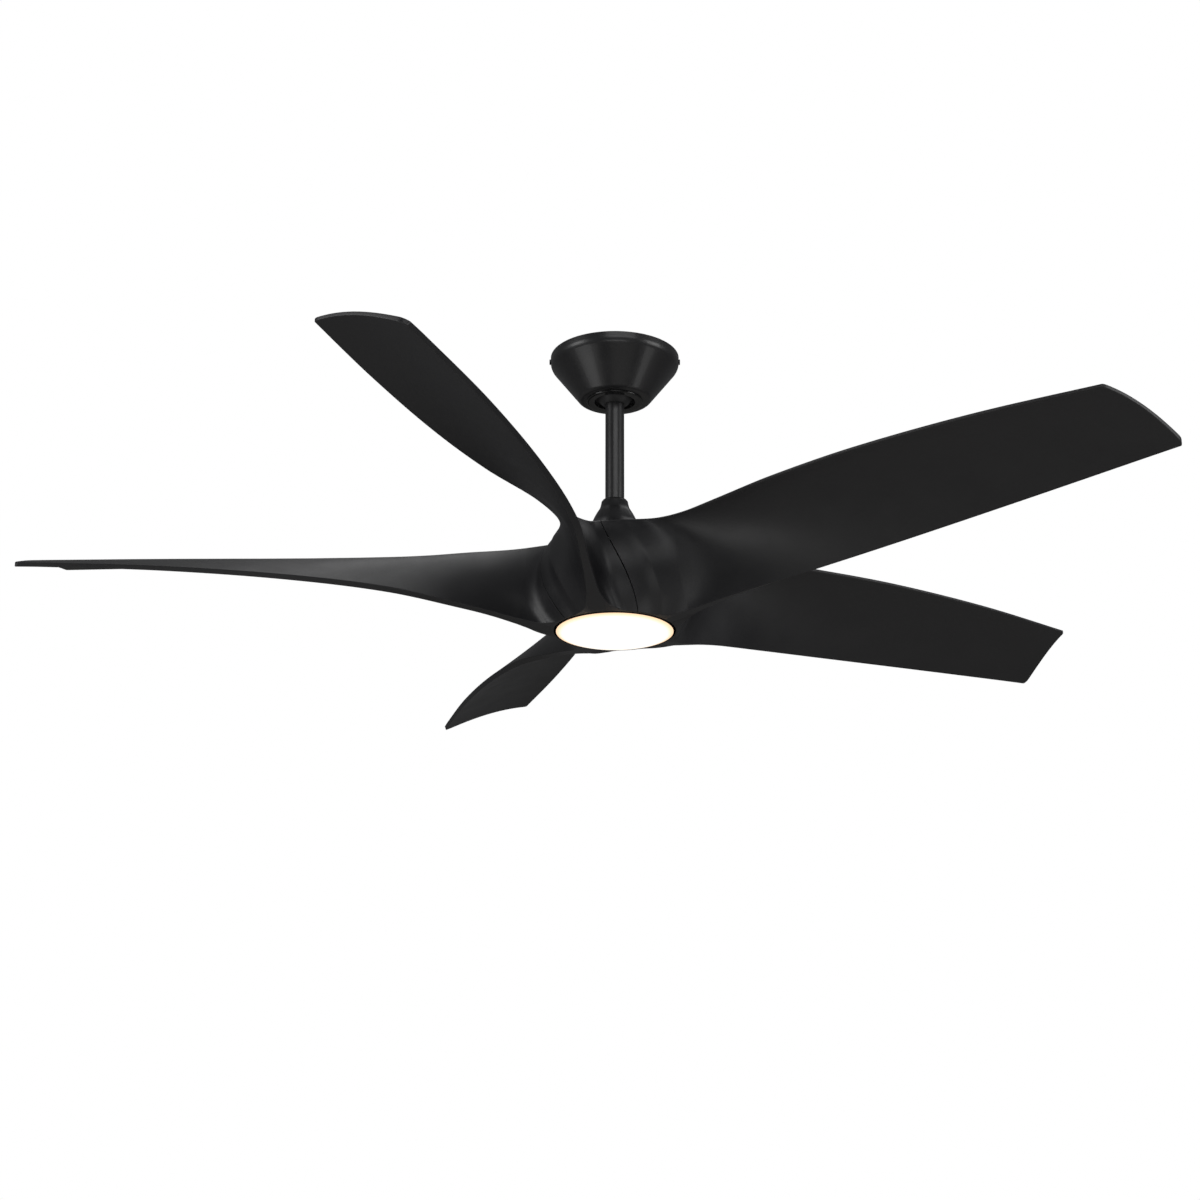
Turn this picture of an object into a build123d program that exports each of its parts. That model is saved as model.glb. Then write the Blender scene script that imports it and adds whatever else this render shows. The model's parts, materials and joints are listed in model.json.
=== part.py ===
from build123d import *
import math
import os

# Ceiling fan with light: ball-hung downrod, outer-rotor motor, five moulded blades, LED light kit.
# Millimetres, +Z up. Origin: centre of the bracket's ceiling face, on the fan's axis.

# ---- Driving sizes ----
TIP_RADIUS = 789.0        # fan axis to the tip's trailing corner, before it is rounded
BLADE_COUNT = 5
FIRST_BLADE_ANGLE = 35.5
ROD_LENGTH = 220.0
ROD_R = 12.7              # 1 in downrod
ROD_BORE_R = ROD_R - 2.5
SLIP = 0.05               # radial clearance of a pin, a screw or a slip fit
SEAT_GAP = 0.15           # between the ball and its socket, and round a sliding cover
AIR_GAP = 0.7             # between the stator and the magnets

# ---- Hanger bracket, ball and socket ----
BRACKET_T = 2.5
ARM_WIDTH = 30.0
TAB_WIDTH = 16.0
TAB_DROP = 9.2            # ends above the canopy's rounded corner
LEG_WIDTH = 44.0
BOX_SCREW_SPACING = 88.9  # 3.5 in ceiling box
SLOT_WIDTH = 5.5
SLOT_LENGTH = 16.0
SUPPLY_HOLE_R = 9.0
BALL_R = 26.5
BALL_DROP = 48.0          # ceiling to the ball's centre
BALL_ABOVE = 16.0         # flat top above the centre
BALL_BELOW = 22.0         # flat bottom below the centre
CUP_DEPTH = 12.0          # seat's lower edge below the ball's centre
CUP_RISE = 5.0
CUP_WALL = 6.35
MAX_TILT = 12.0           # degrees each way
KEY_R = 3.0
KEY_REACH = 5.0           # how far the key stands into the ball
KEY_HEAD_R = 5.0
KEY_HEAD_T = 2.4
PIN_R = 3.0
SET_SCREW_R = 3.0
BALL_SCREW_RISE = 10.5
ROD_TOP_RISE = 18.0       # rod's upper end above the ball's centre

# ---- Canopy ----
CANOPY_R = 87.1
CANOPY_HEIGHT = 64.0
CANOPY_SIDE = 12.0        # straight band under the ceiling
CANOPY_WALL = 1.2
CEILING_GAP = 0.5
CANOPY_SCREW_R = 1.9
CANOPY_SCREW_DROP = 6.0
TRIM_INNER_R = BALL_R + 0.8
TRIM_T = 2.2
CANOPY_HOLE_R = TRIM_INNER_R + 8.7
TRIM_OUTER_R = CANOPY_HOLE_R + 2.0
CANOPY_FLOOR_R = CANOPY_HOLE_R + 11.5
RECEIVER = (92.0, 34.0, 17.0)

# ---- Heights above the light's rim ----
ROD_SEAT = 143.0          # rod's lower end, inside the yoke
LOWER_BEARING = 34.0
UPPER_BEARING = 98.0
SHAFT_TOP = 136.0
PLATE_LOW = 20.0
PLATE_T = 2.5

# ---- Yoke and coupling cover ----
YOKE_SOCKET_WALL = 5.3
YOKE_SOCKET_DEPTH = 25.0
YOKE_FLANGE_R = 33.0
YOKE_FLANGE_T = 6.0
YOKE_FLANGE_LOW = 122.0
YOKE_PIN_HALF = ROD_R + SLIP + YOKE_SOCKET_WALL + 1.55  # clevis pin, axis to the clip
COVER_WALL = 1.8
COVER_LOW = 129.5
COVER_FLARE = [(29.0, 0.0), (21.2, 12.0), (15.2, 21.0), (11.8, 28.5), (8.0, 36.0), (3.7, 43.5), (1.6, 52.5)]
GROMMET_T = 2.0

# ---- Motor ----
SHAFT_R = 8.5
SHAFT_BORE_R = SHAFT_R - 3.0
SHOULDER_R = SHAFT_R + 2.5
SHAFT_END = 12.0
THREAD_R = SHAFT_R - 0.5
YOKE_HUB_R = SHAFT_R + 5.5
BEARING_R = SHAFT_R + 11.5
BEARING_W = 12.0
BALL_PITCH_R = SHAFT_R + 5.75
BEARING_BALL_R = 3.3
BEARING_BALLS = 8
STATOR_R = 63.0
STATOR_LOW = 64.0
STATOR_HEIGHT = 18.0
TEETH = 12
MAGNETS = 16
MAGNET_T = 5.8
IRON_T = 3.5
CUP_R = 78.0              # outside of the rotor's cup
CUP_LOW = 48.0
FLANGE_LOW = 93.5
FLANGE_T = 4.0
HOUSING_SCREWS = 8

# ---- Blades ----
HUB_R = 103.5             # barrel's greatest radius
HUB_ARC_R = 107.0         # radius of the barrel's side curve
HUB_MID = 64.0
HUB_LOW = 1.0
HUB_SHOULDER = 114.0
HUB_HIGH = 127.0
HUB_WALL = 3.0
DECK_R = HUB_R - 25.3     # opening in the hub's top
FLANGE_R = HUB_R - 10.5
SEAM_ANGLE = -32.3        # seam at the light's rim, from the blade's own axis
SEAM_TWIST = -0.272       # degrees for each mm of height
SEAM_GAP = 0.6
ROOT_R = 100.0
EDGE_HALF = 2.2           # half the leading edge's thickness
# reach (0 at the root, 1 at the tip), leading edge y and z, trailing edge y and z, camber, band width
BLADE_STATIONS = [
    (-0.044, -43.0, 126.0, 6.0, 1.0, 6.0, 40.0),
    (0.0, -40.0, 126.0, 8.5, 4.0, 9.0, 26.0),
    (0.044, -39.5, 126.0, 14.0, 11.0, 12.0, 17.0),
    (0.088, -42.0, 126.5, 20.5, 18.5, 13.5, 13.0),
    (0.139, -47.5, 127.0, 28.0, 25.5, 14.0, 10.5),
    (0.28, -69.0, 127.0, 48.0, 42.5, 13.0, 9.0),
    (0.467, -85.0, 127.5, 56.0, 57.0, 11.0, 7.5),
    (0.703, -91.0, 126.0, 53.5, 70.5, 9.0, 6.5),
    (0.939, -87.0, 121.5, 42.0, 80.5, 7.0, 6.0),
    (1.03, -84.0, 119.5, 36.0, 83.5, 6.0, 6.0),
]
BLADE_SECTIONS = 26
CHORD_STEPS = [0, 0.12, 0.26, 0.42, 0.6, 0.8, 1]
TIP_ZONE = 87.0           # length of the tip that the plan outline shapes
TIP_SWEEP = 42.0          # leading corner behind the trailing corner
TIP_LEAD_Y = (-93.0, -89.2)
TIP_TRAIL_Y = (49.0, 39.9)
TIP_BULGE = 3.0
LEAD_CORNER_R = 14.0
TRAIL_CORNER_R = 10.0
LUG_INNER_R = HUB_R - 23.5
LUG_T = 6.0
BLADE_SCREW_CIRCLE_R = HUB_R - 18.0
BLADE_SCREW_R = 2.4
BLADE_SCREW_SPREAD = 22.0
POST_CIRCLE_R = 62.0
TOP_COVER_T = 2.5
TOP_COVER_INNER_R = 47.0

# ---- Light kit ----
LIGHT_R = HUB_R - 26.6
PAN_WALL = 2.0
PAN_LOW = 0.5
PAN_HOLE_R = 15.0
LENS_DROP = 14.0
LENS_WALL = 2.0
COLLAR_R = LIGHT_R - 4.4
COLLAR_WALL = 2.0
LEDGE_LOW = 5.0
LEDGE_T = 2.0
TAB_T = 2.0
TAB_ARC = 30.0
BOARD_R = LIGHT_R - 10.9
BOARD_T = 1.6
CHIP = (5.0, 5.0, 0.8)
CHIP_RINGS = [(26.0, 8), (42.0, 14), (58.0, 20)]
MODULE = (34.0, 52.0, 15.5)
MODULE_X = 45.0
BUNDLE_R = SHAFT_BORE_R - 0.3

# ---- Places worked out from the sizes ----
BALL_Z = -BALL_DROP
ROD_TOP = BALL_Z + ROD_TOP_RISE
ROD_BOTTOM = ROD_TOP - ROD_LENGTH
RIM_Z = ROD_BOTTOM - ROD_SEAT
SOCKET_R = BALL_R + SEAT_GAP
CUP_OUTER_R = SOCKET_R + CUP_WALL
LEG_INSIDE = CUP_OUTER_R + SEAT_GAP + KEY_HEAD_T + 0.45  # half the space between the bracket's legs
CUP_BOTTOM = BALL_Z - CUP_DEPTH
PITCH = 360.0 / BLADE_COUNT
PLATE_TOP = PLATE_LOW + PLATE_T
MAGNET_INNER_R = STATOR_R + AIR_GAP
IRON_INNER_R = MAGNET_INNER_R + MAGNET_T
CUP_INNER_R = IRON_INNER_R + IRON_T


def up(height):
    """Row height of a point given above the light's rim."""
    return RIM_Z + height


def polar(radius, angle, z=0.0):
    """Point at a radius and an angle in degrees."""
    return (radius * math.cos(math.radians(angle)), radius * math.sin(math.radians(angle)), z)


def ring(outer_r, inner_r, low, high):
    """Flat ring between two row heights, or a disc when inner_r is 0."""
    outer = Pos(0, 0, (low + high) / 2) * Cylinder(outer_r, high - low)
    if inner_r == 0:
        return outer
    return outer - Pos(0, 0, (low + high) / 2) * Cylinder(inner_r, high - low)


def block(x_span, y_span, z_span):
    """Box between two values on each axis."""
    centre = [(a + b) / 2 for a, b in (x_span, y_span, z_span)]
    sides = [abs(b - a) for a, b in (x_span, y_span, z_span)]
    return Pos(*centre) * Box(*sides)


def bar(start, end, radius):
    """Round bar from one point to another."""
    start, end = Vector(*start), Vector(*end)
    return Solid.make_cylinder(radius, (end - start).length, Plane(origin=start, z_dir=end - start))


def turned(points, rounds=()):
    """Solid of revolution from (radius, z) corners; rounds holds (corner index, fillet radius)."""
    face = make_face(Polyline(*points, close=True))
    for index, radius in rounds:
        corner = face.vertices().sort_by_distance((*points[index], 0))[0]
        face = fillet(corner, radius)
    return revolve(Plane.XZ * face, Axis.Z)


def arc_block(inner_r, outer_r, low, high, middle, span):
    """Part of a ring, span degrees long, centred on an angle."""
    face = make_face(Polyline((inner_r, low), (outer_r, low), (outer_r, high), (inner_r, high), close=True))
    return Rot(0, 0, middle - span / 2) * revolve(Plane.XZ * face, Axis.Z, span)


def around(shape, count, start=0.0):
    """Copies of a shape, evenly spaced about the fan's axis."""
    return [Rot(0, 0, start + 360.0 * i / count) * shape for i in range(count)]


def group(shapes):
    """One node that holds several separate solids."""
    solids = [solid for shape in shapes for solid in shape.solids()]
    return Compound(children=solids)


def screw(head_r, head_t, shank_r, length):
    """Pan-head screw with its head's underside at the origin, pointing down, with a hexagon recess."""
    head = Pos(0, 0, head_t / 2) * Cylinder(head_r, head_t)
    head = fillet(head.faces().sort_by(Axis.Z)[-1].edges(), head_t * 0.4)
    recess = extrude(RegularPolygon(head_r * 0.45, 6), head_t * 0.6)
    head -= Pos(0, 0, head_t * 0.5) * recess
    return head + Pos(0, 0, -length / 2) * Cylinder(shank_r, length)


# ---- Ceiling side ----

def canopy_r(z):
    """Outer radius of the canopy's cone at a row height."""
    drop = CANOPY_HEIGHT - CEILING_GAP - CANOPY_SIDE
    return CANOPY_FLOOR_R + (z + CANOPY_HEIGHT) * (CANOPY_R - CANOPY_FLOOR_R) / drop


def canopy():
    side_low = -CEILING_GAP - CANOPY_SIDE
    slope = math.hypot(CANOPY_R - CANOPY_FLOOR_R, CANOPY_HEIGHT + side_low) / (CANOPY_HEIGHT + side_low)
    thick = CANOPY_WALL * slope
    floor_top = -CANOPY_HEIGHT + CANOPY_WALL
    inner_r = CANOPY_R - CANOPY_WALL
    knee = side_low + (inner_r + thick - CANOPY_R) * (CANOPY_HEIGHT + side_low) / (CANOPY_R - CANOPY_FLOOR_R)
    shell = turned(
        [
            (CANOPY_R, -CEILING_GAP),
            (CANOPY_R, side_low),
            (CANOPY_FLOOR_R, -CANOPY_HEIGHT),
            (CANOPY_HOLE_R, -CANOPY_HEIGHT),
            (CANOPY_HOLE_R, floor_top),
            (canopy_r(floor_top) - thick, floor_top),
            (inner_r, knee),
            (inner_r, -CEILING_GAP),
        ],
        [(1, 9.0), (6, 7.8), (2, 5.0), (5, 3.8)],
    )
    for side in (-1, 1):
        hole = bar((side * (CANOPY_R - 8), 0, -CANOPY_SCREW_DROP), (side * (CANOPY_R + 3), 0, -CANOPY_SCREW_DROP),
                   CANOPY_SCREW_R + 0.3)
        shell -= hole
    return shell


def trim_ring():
    low = -CANOPY_HEIGHT - TRIM_T
    lip_r = CANOPY_HOLE_R - SEAT_GAP
    return turned(
        [
            (TRIM_INNER_R, low),
            (TRIM_OUTER_R, low),
            (TRIM_OUTER_R, -CANOPY_HEIGHT),
            (lip_r, -CANOPY_HEIGHT),
            (lip_r, -CANOPY_HEIGHT + 2.2),
            (lip_r - 1.6, -CANOPY_HEIGHT + 2.2),
            (lip_r - 1.6, -CANOPY_HEIGHT + 0.4),
            (TRIM_INNER_R, -CANOPY_HEIGHT + 0.4),
        ],
        [(0, 1.0), (1, 1.2)],
    )


def tab_x():
    """Outer face of the bracket's end tabs, just inside the canopy."""
    return math.sqrt((CANOPY_R - CANOPY_WALL - 0.3) ** 2 - (TAB_WIDTH / 2) ** 2)


def canopy_screws():
    shape = screw(3.8, 1.6, CANOPY_SCREW_R - SLIP, CANOPY_R - tab_x() + 6)
    seat = CANOPY_R + 0.1
    left = Pos(-seat, 0, -CANOPY_SCREW_DROP) * Rot(0, -90, 0) * shape
    right = Pos(seat, 0, -CANOPY_SCREW_DROP) * Rot(0, 90, 0) * shape
    return group([left, right])


def hanger_bracket():
    reach = tab_x()
    leg_out = LEG_INSIDE + BRACKET_T
    half = LEG_WIDTH / 2
    inside_canopy = ring(CANOPY_R - CANOPY_WALL - 0.3, 0, -BRACKET_T, 0)
    body = block((-reach, reach), (-ARM_WIDTH / 2, ARM_WIDTH / 2), (-BRACKET_T, 0)) & inside_canopy
    body += block((-half, half), (-leg_out, leg_out), (-BRACKET_T, 0))
    body += block((-half, half), (-leg_out, leg_out), (CUP_BOTTOM, CUP_BOTTOM + BRACKET_T))
    for side in (-1, 1):
        body += block((-half, half), (side * LEG_INSIDE, side * leg_out), (CUP_BOTTOM, 0))
        body += block((side * (reach - BRACKET_T), side * reach), (-TAB_WIDTH / 2, TAB_WIDTH / 2), (-TAB_DROP, 0))
    body += ring(CUP_OUTER_R, 0, CUP_BOTTOM, BALL_Z + CUP_RISE)
    body -= Pos(0, 0, BALL_Z) * Sphere(SOCKET_R)
    body -= ring(SOCKET_R, 0, BALL_Z, BALL_Z + BALL_R)
    entry = ROD_R + 1.5
    body -= block((0, CUP_OUTER_R + 10), (-entry, entry), (CUP_BOTTOM - 1, BALL_Z + CUP_RISE + 1))
    for side in (-1, 1):
        body -= Pos(side * BOX_SCREW_SPACING / 2, 0, -BRACKET_T) * extrude(
            SlotOverall(SLOT_LENGTH, SLOT_WIDTH), BRACKET_T)
        body -= bar((side * (reach - 5), 0, -CANOPY_SCREW_DROP), (side * (reach + 2), 0, -CANOPY_SCREW_DROP),
                    CANOPY_SCREW_R)
    body -= ring(SUPPLY_HOLE_R, 0, -BRACKET_T, 0)
    body -= bar((0, SOCKET_R - 3, BALL_Z), (0, CUP_OUTER_R + 2, BALL_Z), KEY_R + SLIP)
    return body


def control_receiver():
    length, width, height = RECEIVER
    case = Pos(0, 0, -BRACKET_T - 0.3 - height / 2) * Box(length, width, height)
    case = fillet(case.edges().filter_by(Axis.Z), 3.0)
    lid_seam = Pos(0, 0, -BRACKET_T - 0.3 - 4) * (Box(length + 2, width + 2, 0.8) - Box(length - 1, width - 1, 0.8))
    return case - lid_seam


def socket_key():
    """Round key through the cup's wall that stands in the ball's upright groove."""
    inner_end = BALL_R - KEY_REACH
    pin = bar((0, inner_end, BALL_Z), (0, CUP_OUTER_R + SEAT_GAP, BALL_Z), KEY_R)
    head_start = CUP_OUTER_R + SEAT_GAP
    return pin + bar((0, head_start, BALL_Z), (0, head_start + KEY_HEAD_T, BALL_Z), KEY_HEAD_R)


def hanger_ball():
    body = Pos(0, 0, BALL_Z) * Sphere(BALL_R)
    body &= ring(BALL_R + 5, 0, BALL_Z - BALL_BELOW, BALL_Z + BALL_ABOVE)
    body -= ring(ROD_R + SLIP, 0, BALL_Z - BALL_R, BALL_Z + BALL_R)
    tilt = math.radians(MAX_TILT)
    floor = (BALL_R - KEY_REACH) * math.cos(tilt) - KEY_R * math.sin(tilt) - 0.4
    half = KEY_R + 0.2
    body -= block((-half, half), (floor, BALL_R + 5), (BALL_Z - BALL_R, BALL_Z + BALL_R))
    body -= bar((-BALL_R, 0, BALL_Z), (BALL_R, 0, BALL_Z), PIN_R + SLIP)
    screw_z = BALL_Z + BALL_SCREW_RISE
    return body - bar((0, 0, screw_z), (0, -BALL_R, screw_z), SET_SCREW_R + SLIP)


def ball_cross_pin():
    half = math.sqrt(BALL_R ** 2 - PIN_R ** 2) - 0.9
    return bar((-half, 0, BALL_Z), (half, 0, BALL_Z), PIN_R)


def set_screw(length):
    """Cup-point grub screw from the origin along +X."""
    body = bar((0, 0, 0), (length, 0, 0), SET_SCREW_R)
    recess = Plane.YZ.offset(length - 2.5) * extrude(RegularPolygon(1.6, 6), 3)
    return body - recess


def ball_set_screw():
    reach = math.sqrt(BALL_R ** 2 - (BALL_SCREW_RISE + SET_SCREW_R) ** 2)
    start = ROD_R + 2 * SLIP
    return Pos(0, -start, BALL_Z + BALL_SCREW_RISE) * Rot(0, 0, -90) * set_screw(reach - start - 1)


def downrod():
    tube = ring(ROD_R, ROD_BORE_R, ROD_BOTTOM, ROD_TOP)
    for z in (BALL_Z, yoke_pin_z()):
        tube -= bar((-ROD_R - 1, 0, z), (ROD_R + 1, 0, z), PIN_R + SLIP)
    return tube


# ---- Yoke and its cover ----

def yoke_pin_z():
    return ROD_BOTTOM + 14


def motor_yoke():
    bore = ROD_R + SLIP
    socket_r = bore + YOKE_SOCKET_WALL
    flange_low = up(YOKE_FLANGE_LOW)
    body = turned(
        [
            (YOKE_HUB_R, up(UPPER_BEARING + BEARING_W)),
            (YOKE_HUB_R, flange_low),
            (YOKE_FLANGE_R, flange_low),
            (YOKE_FLANGE_R, flange_low + YOKE_FLANGE_T),
            (socket_r, flange_low + 2 * YOKE_FLANGE_T),
            (socket_r, ROD_BOTTOM + YOKE_SOCKET_DEPTH),
            (bore, ROD_BOTTOM + YOKE_SOCKET_DEPTH),
            (bore, ROD_BOTTOM),
            (SHAFT_BORE_R + 0.1, ROD_BOTTOM),
            (SHAFT_BORE_R + 0.1, up(SHAFT_TOP)),
            (SHAFT_R + SLIP, up(SHAFT_TOP)),
            (SHAFT_R + SLIP, up(UPPER_BEARING + BEARING_W)),
        ],
        [(2, 1.5), (3, 1.5)],
    )
    body -= bar((-socket_r - 1, 0, yoke_pin_z()), (socket_r + 1, 0, yoke_pin_z()), PIN_R + SLIP)
    for side in (-1, 1):
        z = ROD_BOTTOM + 7
        body -= bar((0, side * (ROD_R - 1), z), (0, side * (socket_r + 1), z), SET_SCREW_R + SLIP)
    lock_z = flange_low + YOKE_FLANGE_T / 2
    return body - bar((SHAFT_R - 2, 0, lock_z), (YOKE_FLANGE_R + 1, 0, lock_z), SET_SCREW_R - 0.5 + SLIP)


def yoke_clevis_pin():
    socket_r = ROD_R + SLIP + YOKE_SOCKET_WALL
    z = yoke_pin_z()
    head = bar((-socket_r - 2.6, 0, z), (-socket_r - 0.1, 0, z), 4.6)
    pin = head + bar((-socket_r - 0.1, 0, z), (YOKE_PIN_HALF + 2, 0, z), PIN_R)
    groove_x = YOKE_PIN_HALF
    groove = bar((groove_x - 0.6, 0, z), (groove_x + 0.6, 0, z), PIN_R + 1)
    return pin - (groove - bar((groove_x - 1, 0, z), (groove_x + 1, 0, z), PIN_R - 0.5))


def yoke_clip():
    """Spring clip in the clevis pin's groove."""
    z = yoke_pin_z()
    x = YOKE_PIN_HALF
    clip = bar((x - 0.5, 0, z), (x + 0.5, 0, z), 5.4) - bar((x - 1, 0, z), (x + 1, 0, z), PIN_R - 0.5 + SLIP)
    return clip - block((x - 1, x + 1), (-1.8, 1.8), (z - 7, z))


def yoke_set_screws():
    start = ROD_R + 2 * SLIP
    z = ROD_BOTTOM + 7
    rod_screw = set_screw(YOKE_SOCKET_WALL + 1.5)
    lock = bar((SHAFT_R + 2 * SLIP, 0, 0), (SHAFT_R + 14, 0, 0), SET_SCREW_R - 0.5)
    upper = [Pos(0, side * start, z) * Rot(0, 0, side * 90) * rod_screw for side in (-1, 1)]
    return group(upper + [Pos(0, 0, up(YOKE_FLANGE_LOW + YOKE_FLANGE_T / 2)) * lock])


def cover_profile(inset):
    """Bell curve of the coupling cover; each point is outside the rod and above the cover's lower edge."""
    return [(ROD_R + out + 3.3 - inset, up(COVER_LOW) + rise) for out, rise in COVER_FLARE]


def coupling_cover():
    outer = cover_profile(0)
    inner = cover_profile(COVER_WALL)
    hole_r = ROD_R + SEAT_GAP + GROMMET_T + SLIP
    inner[-1] = (hole_r, outer[-1][1])
    edges = [
        Spline(*outer).edge(),
        Line(outer[-1], inner[-1]).edge(),
        Line(inner[-1], (inner[-1][0], inner[-2][1])).edge(),
        Line((inner[-1][0], inner[-2][1]), inner[-2]).edge(),
        Spline(*inner[:-1][::-1]).edge(),
        Line(inner[0], outer[0]).edge(),
    ]
    return revolve(Plane.XZ * make_face(Wire(edges)), Axis.Z)


def cover_grommet():
    top = up(COVER_LOW) + COVER_FLARE[-1][1]
    bore = ROD_R + SEAT_GAP
    return turned(
        [
            (bore, top - 3),
            (bore + GROMMET_T, top - 3),
            (bore + GROMMET_T, top),
            (bore + GROMMET_T + 1.6, top),
            (bore + GROMMET_T + 1.6, top + 2),
            (bore, top + 2),
        ],
        [(4, 0.8)],
    )


# ---- Motor ----

def motor_shaft():
    shaft = ring(SHAFT_R, 0, up(LOWER_BEARING), up(SHAFT_TOP))
    shaft += ring(SHOULDER_R, 0, up(PLATE_TOP), up(LOWER_BEARING))
    shaft += ring(THREAD_R, 0, up(SHAFT_END), up(PLATE_TOP))
    return shaft - ring(SHAFT_BORE_R, 0, up(SHAFT_END), up(SHAFT_TOP))


def bearing_race(low, inner_r, outer_r):
    race = ring(outer_r, inner_r, up(low), up(low + BEARING_W))
    track = Pos(0, 0, up(low + BEARING_W / 2)) * Torus(BALL_PITCH_R, BEARING_BALL_R + SEAT_GAP)
    return race - track


def inner_races():
    return group([bearing_race(low, SHAFT_R + SLIP, BALL_PITCH_R - 2.15) for low in (LOWER_BEARING, UPPER_BEARING)])


def outer_races():
    return group([bearing_race(low, BALL_PITCH_R + 2.15, BEARING_R) for low in (LOWER_BEARING, UPPER_BEARING)])


def bearing_balls(low):
    ball = Pos(BALL_PITCH_R, 0, up(low + BEARING_W / 2)) * Sphere(BEARING_BALL_R)
    return group(around(ball, BEARING_BALLS))


def bearing_cage(low):
    middle = up(low + BEARING_W / 2)
    cage = ring(BALL_PITCH_R + 0.85, BALL_PITCH_R - 0.85, middle - 4.4, middle + 4.4)
    pocket = bar((BALL_PITCH_R - 3, 0, middle), (BALL_PITCH_R + 3, 0, middle), BEARING_BALL_R + SEAT_GAP)
    for hole in around(pocket, BEARING_BALLS):
        cage -= hole
    return cage


def stator_carrier():
    carrier = ring(SHAFT_R + 3.5, SHAFT_R + SLIP, up(LOWER_BEARING + BEARING_W), up(UPPER_BEARING))
    web_low = STATOR_LOW + 2
    web = ring(30, SHAFT_R + 2, up(web_low), up(web_low + STATOR_HEIGHT - 4))
    for window in around(bar((21, 0, up(web_low - 1)), (21, 0, up(web_low + STATOR_HEIGHT)), 4.0), 6, 30):
        web -= window
    return carrier + web


def stator_core():
    low, high = up(STATOR_LOW), up(STATOR_LOW + STATOR_HEIGHT)
    core = ring(40, 30, low, high)
    tooth = block((38, STATOR_R - 3), (-4, 4), (low, high))
    tooth += arc_block(STATOR_R - 4.5, STATOR_R, low, high, 0, 360 / TEETH - 5)
    for piece in around(tooth, TEETH):
        core += piece
    return core


def stator_windings():
    low, high = up(STATOR_LOW) - 6, up(STATOR_LOW + STATOR_HEIGHT) + 6
    coil = block((42.5, STATOR_R - 6), (-8.3, 8.3), (low, high))
    coil = fillet(coil.edges().filter_by(Axis.X), 4.0)
    coil -= block((42, STATOR_R - 5), (-4.1, 4.1), (low + 5.9, high - 5.9))
    return group(around(coil, TEETH))


def rotor_upper_housing():
    flange_high = FLANGE_LOW + FLANGE_T
    boss_top = UPPER_BEARING + BEARING_W
    body = turned(
        [
            (BEARING_R, up(FLANGE_LOW)),
            (BEARING_R, up(boss_top)),
            (BEARING_R - 2.5, up(boss_top)),
            (BEARING_R - 2.5, up(boss_top + 2)),
            (BEARING_R + 6, up(boss_top + 2)),
            (BEARING_R + 8, up(flange_high)),
            (FLANGE_R, up(flange_high)),
            (FLANGE_R, up(FLANGE_LOW)),
            (CUP_R, up(FLANGE_LOW)),
            (CUP_R, up(CUP_LOW)),
            (CUP_INNER_R, up(CUP_LOW)),
            (CUP_INNER_R, up(FLANGE_LOW)),
        ],
        [(6, 1.0)],
    )
    for hole in around(bar((rim_screw_r(), 0, up(CUP_LOW)), (rim_screw_r(), 0, up(CUP_LOW + 12)), 1.5), HOUSING_SCREWS):
        body -= hole
    for angle in blade_screw_angles():
        x, y, _ = polar(BLADE_SCREW_CIRCLE_R, angle)
        body -= bar((x, y, up(FLANGE_LOW)), (x, y, up(flange_high)), BLADE_SCREW_R + SLIP)
    for angle in post_angles():
        x, y, _ = polar(POST_CIRCLE_R, angle)
        body -= bar((x, y, up(FLANGE_LOW)), (x, y, up(flange_high)), 1.5)
    return body


def rotor_lower_housing():
    plate_low = CUP_LOW - 4
    body = turned(
        [
            (BEARING_R - 2.5, up(LOWER_BEARING - 2)),
            (BEARING_R + 5, up(LOWER_BEARING - 2)),
            (BEARING_R + 6, up(plate_low)),
            (CUP_R, up(plate_low)),
            (CUP_R, up(CUP_LOW)),
            (BEARING_R, up(CUP_LOW)),
            (BEARING_R, up(LOWER_BEARING)),
            (BEARING_R - 2.5, up(LOWER_BEARING)),
        ],
        [(3, 1.5)],
    )
    for hole in around(bar((rim_screw_r(), 0, up(plate_low)), (rim_screw_r(), 0, up(CUP_LOW)), 1.6), HOUSING_SCREWS):
        body -= hole
    for vent in around(bar((50, 0, up(plate_low)), (50, 0, up(CUP_LOW)), 5.0), 10, 18):
        body -= vent
    return body


def rim_screw_r():
    return (CUP_INNER_R + CUP_R) / 2


def housing_screws():
    shape = Rot(180, 0, 0) * screw(2.2, 1.8, 1.45, 14)
    return group(around(Pos(rim_screw_r(), 0, up(CUP_LOW - 4)) * shape, HOUSING_SCREWS))


def back_iron():
    return ring(CUP_INNER_R, IRON_INNER_R, up(STATOR_LOW - 8), up(STATOR_LOW + STATOR_HEIGHT + 8))


def rotor_magnets():
    low, high = up(STATOR_LOW - 5), up(STATOR_LOW + STATOR_HEIGHT + 5)
    magnet = arc_block(MAGNET_INNER_R, IRON_INNER_R, low, high, 0, 360 / MAGNETS - 2.5)
    return group(around(magnet, MAGNETS))


# ---- Blades ----

def hub_r(height):
    """Outer radius of the hub's barrel at a height above the light's rim."""
    return HUB_R - HUB_ARC_R + math.sqrt(HUB_ARC_R ** 2 - (height - HUB_MID) ** 2)


def seam_angle(height):
    return SEAM_ANGLE + SEAM_TWIST * height


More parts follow.
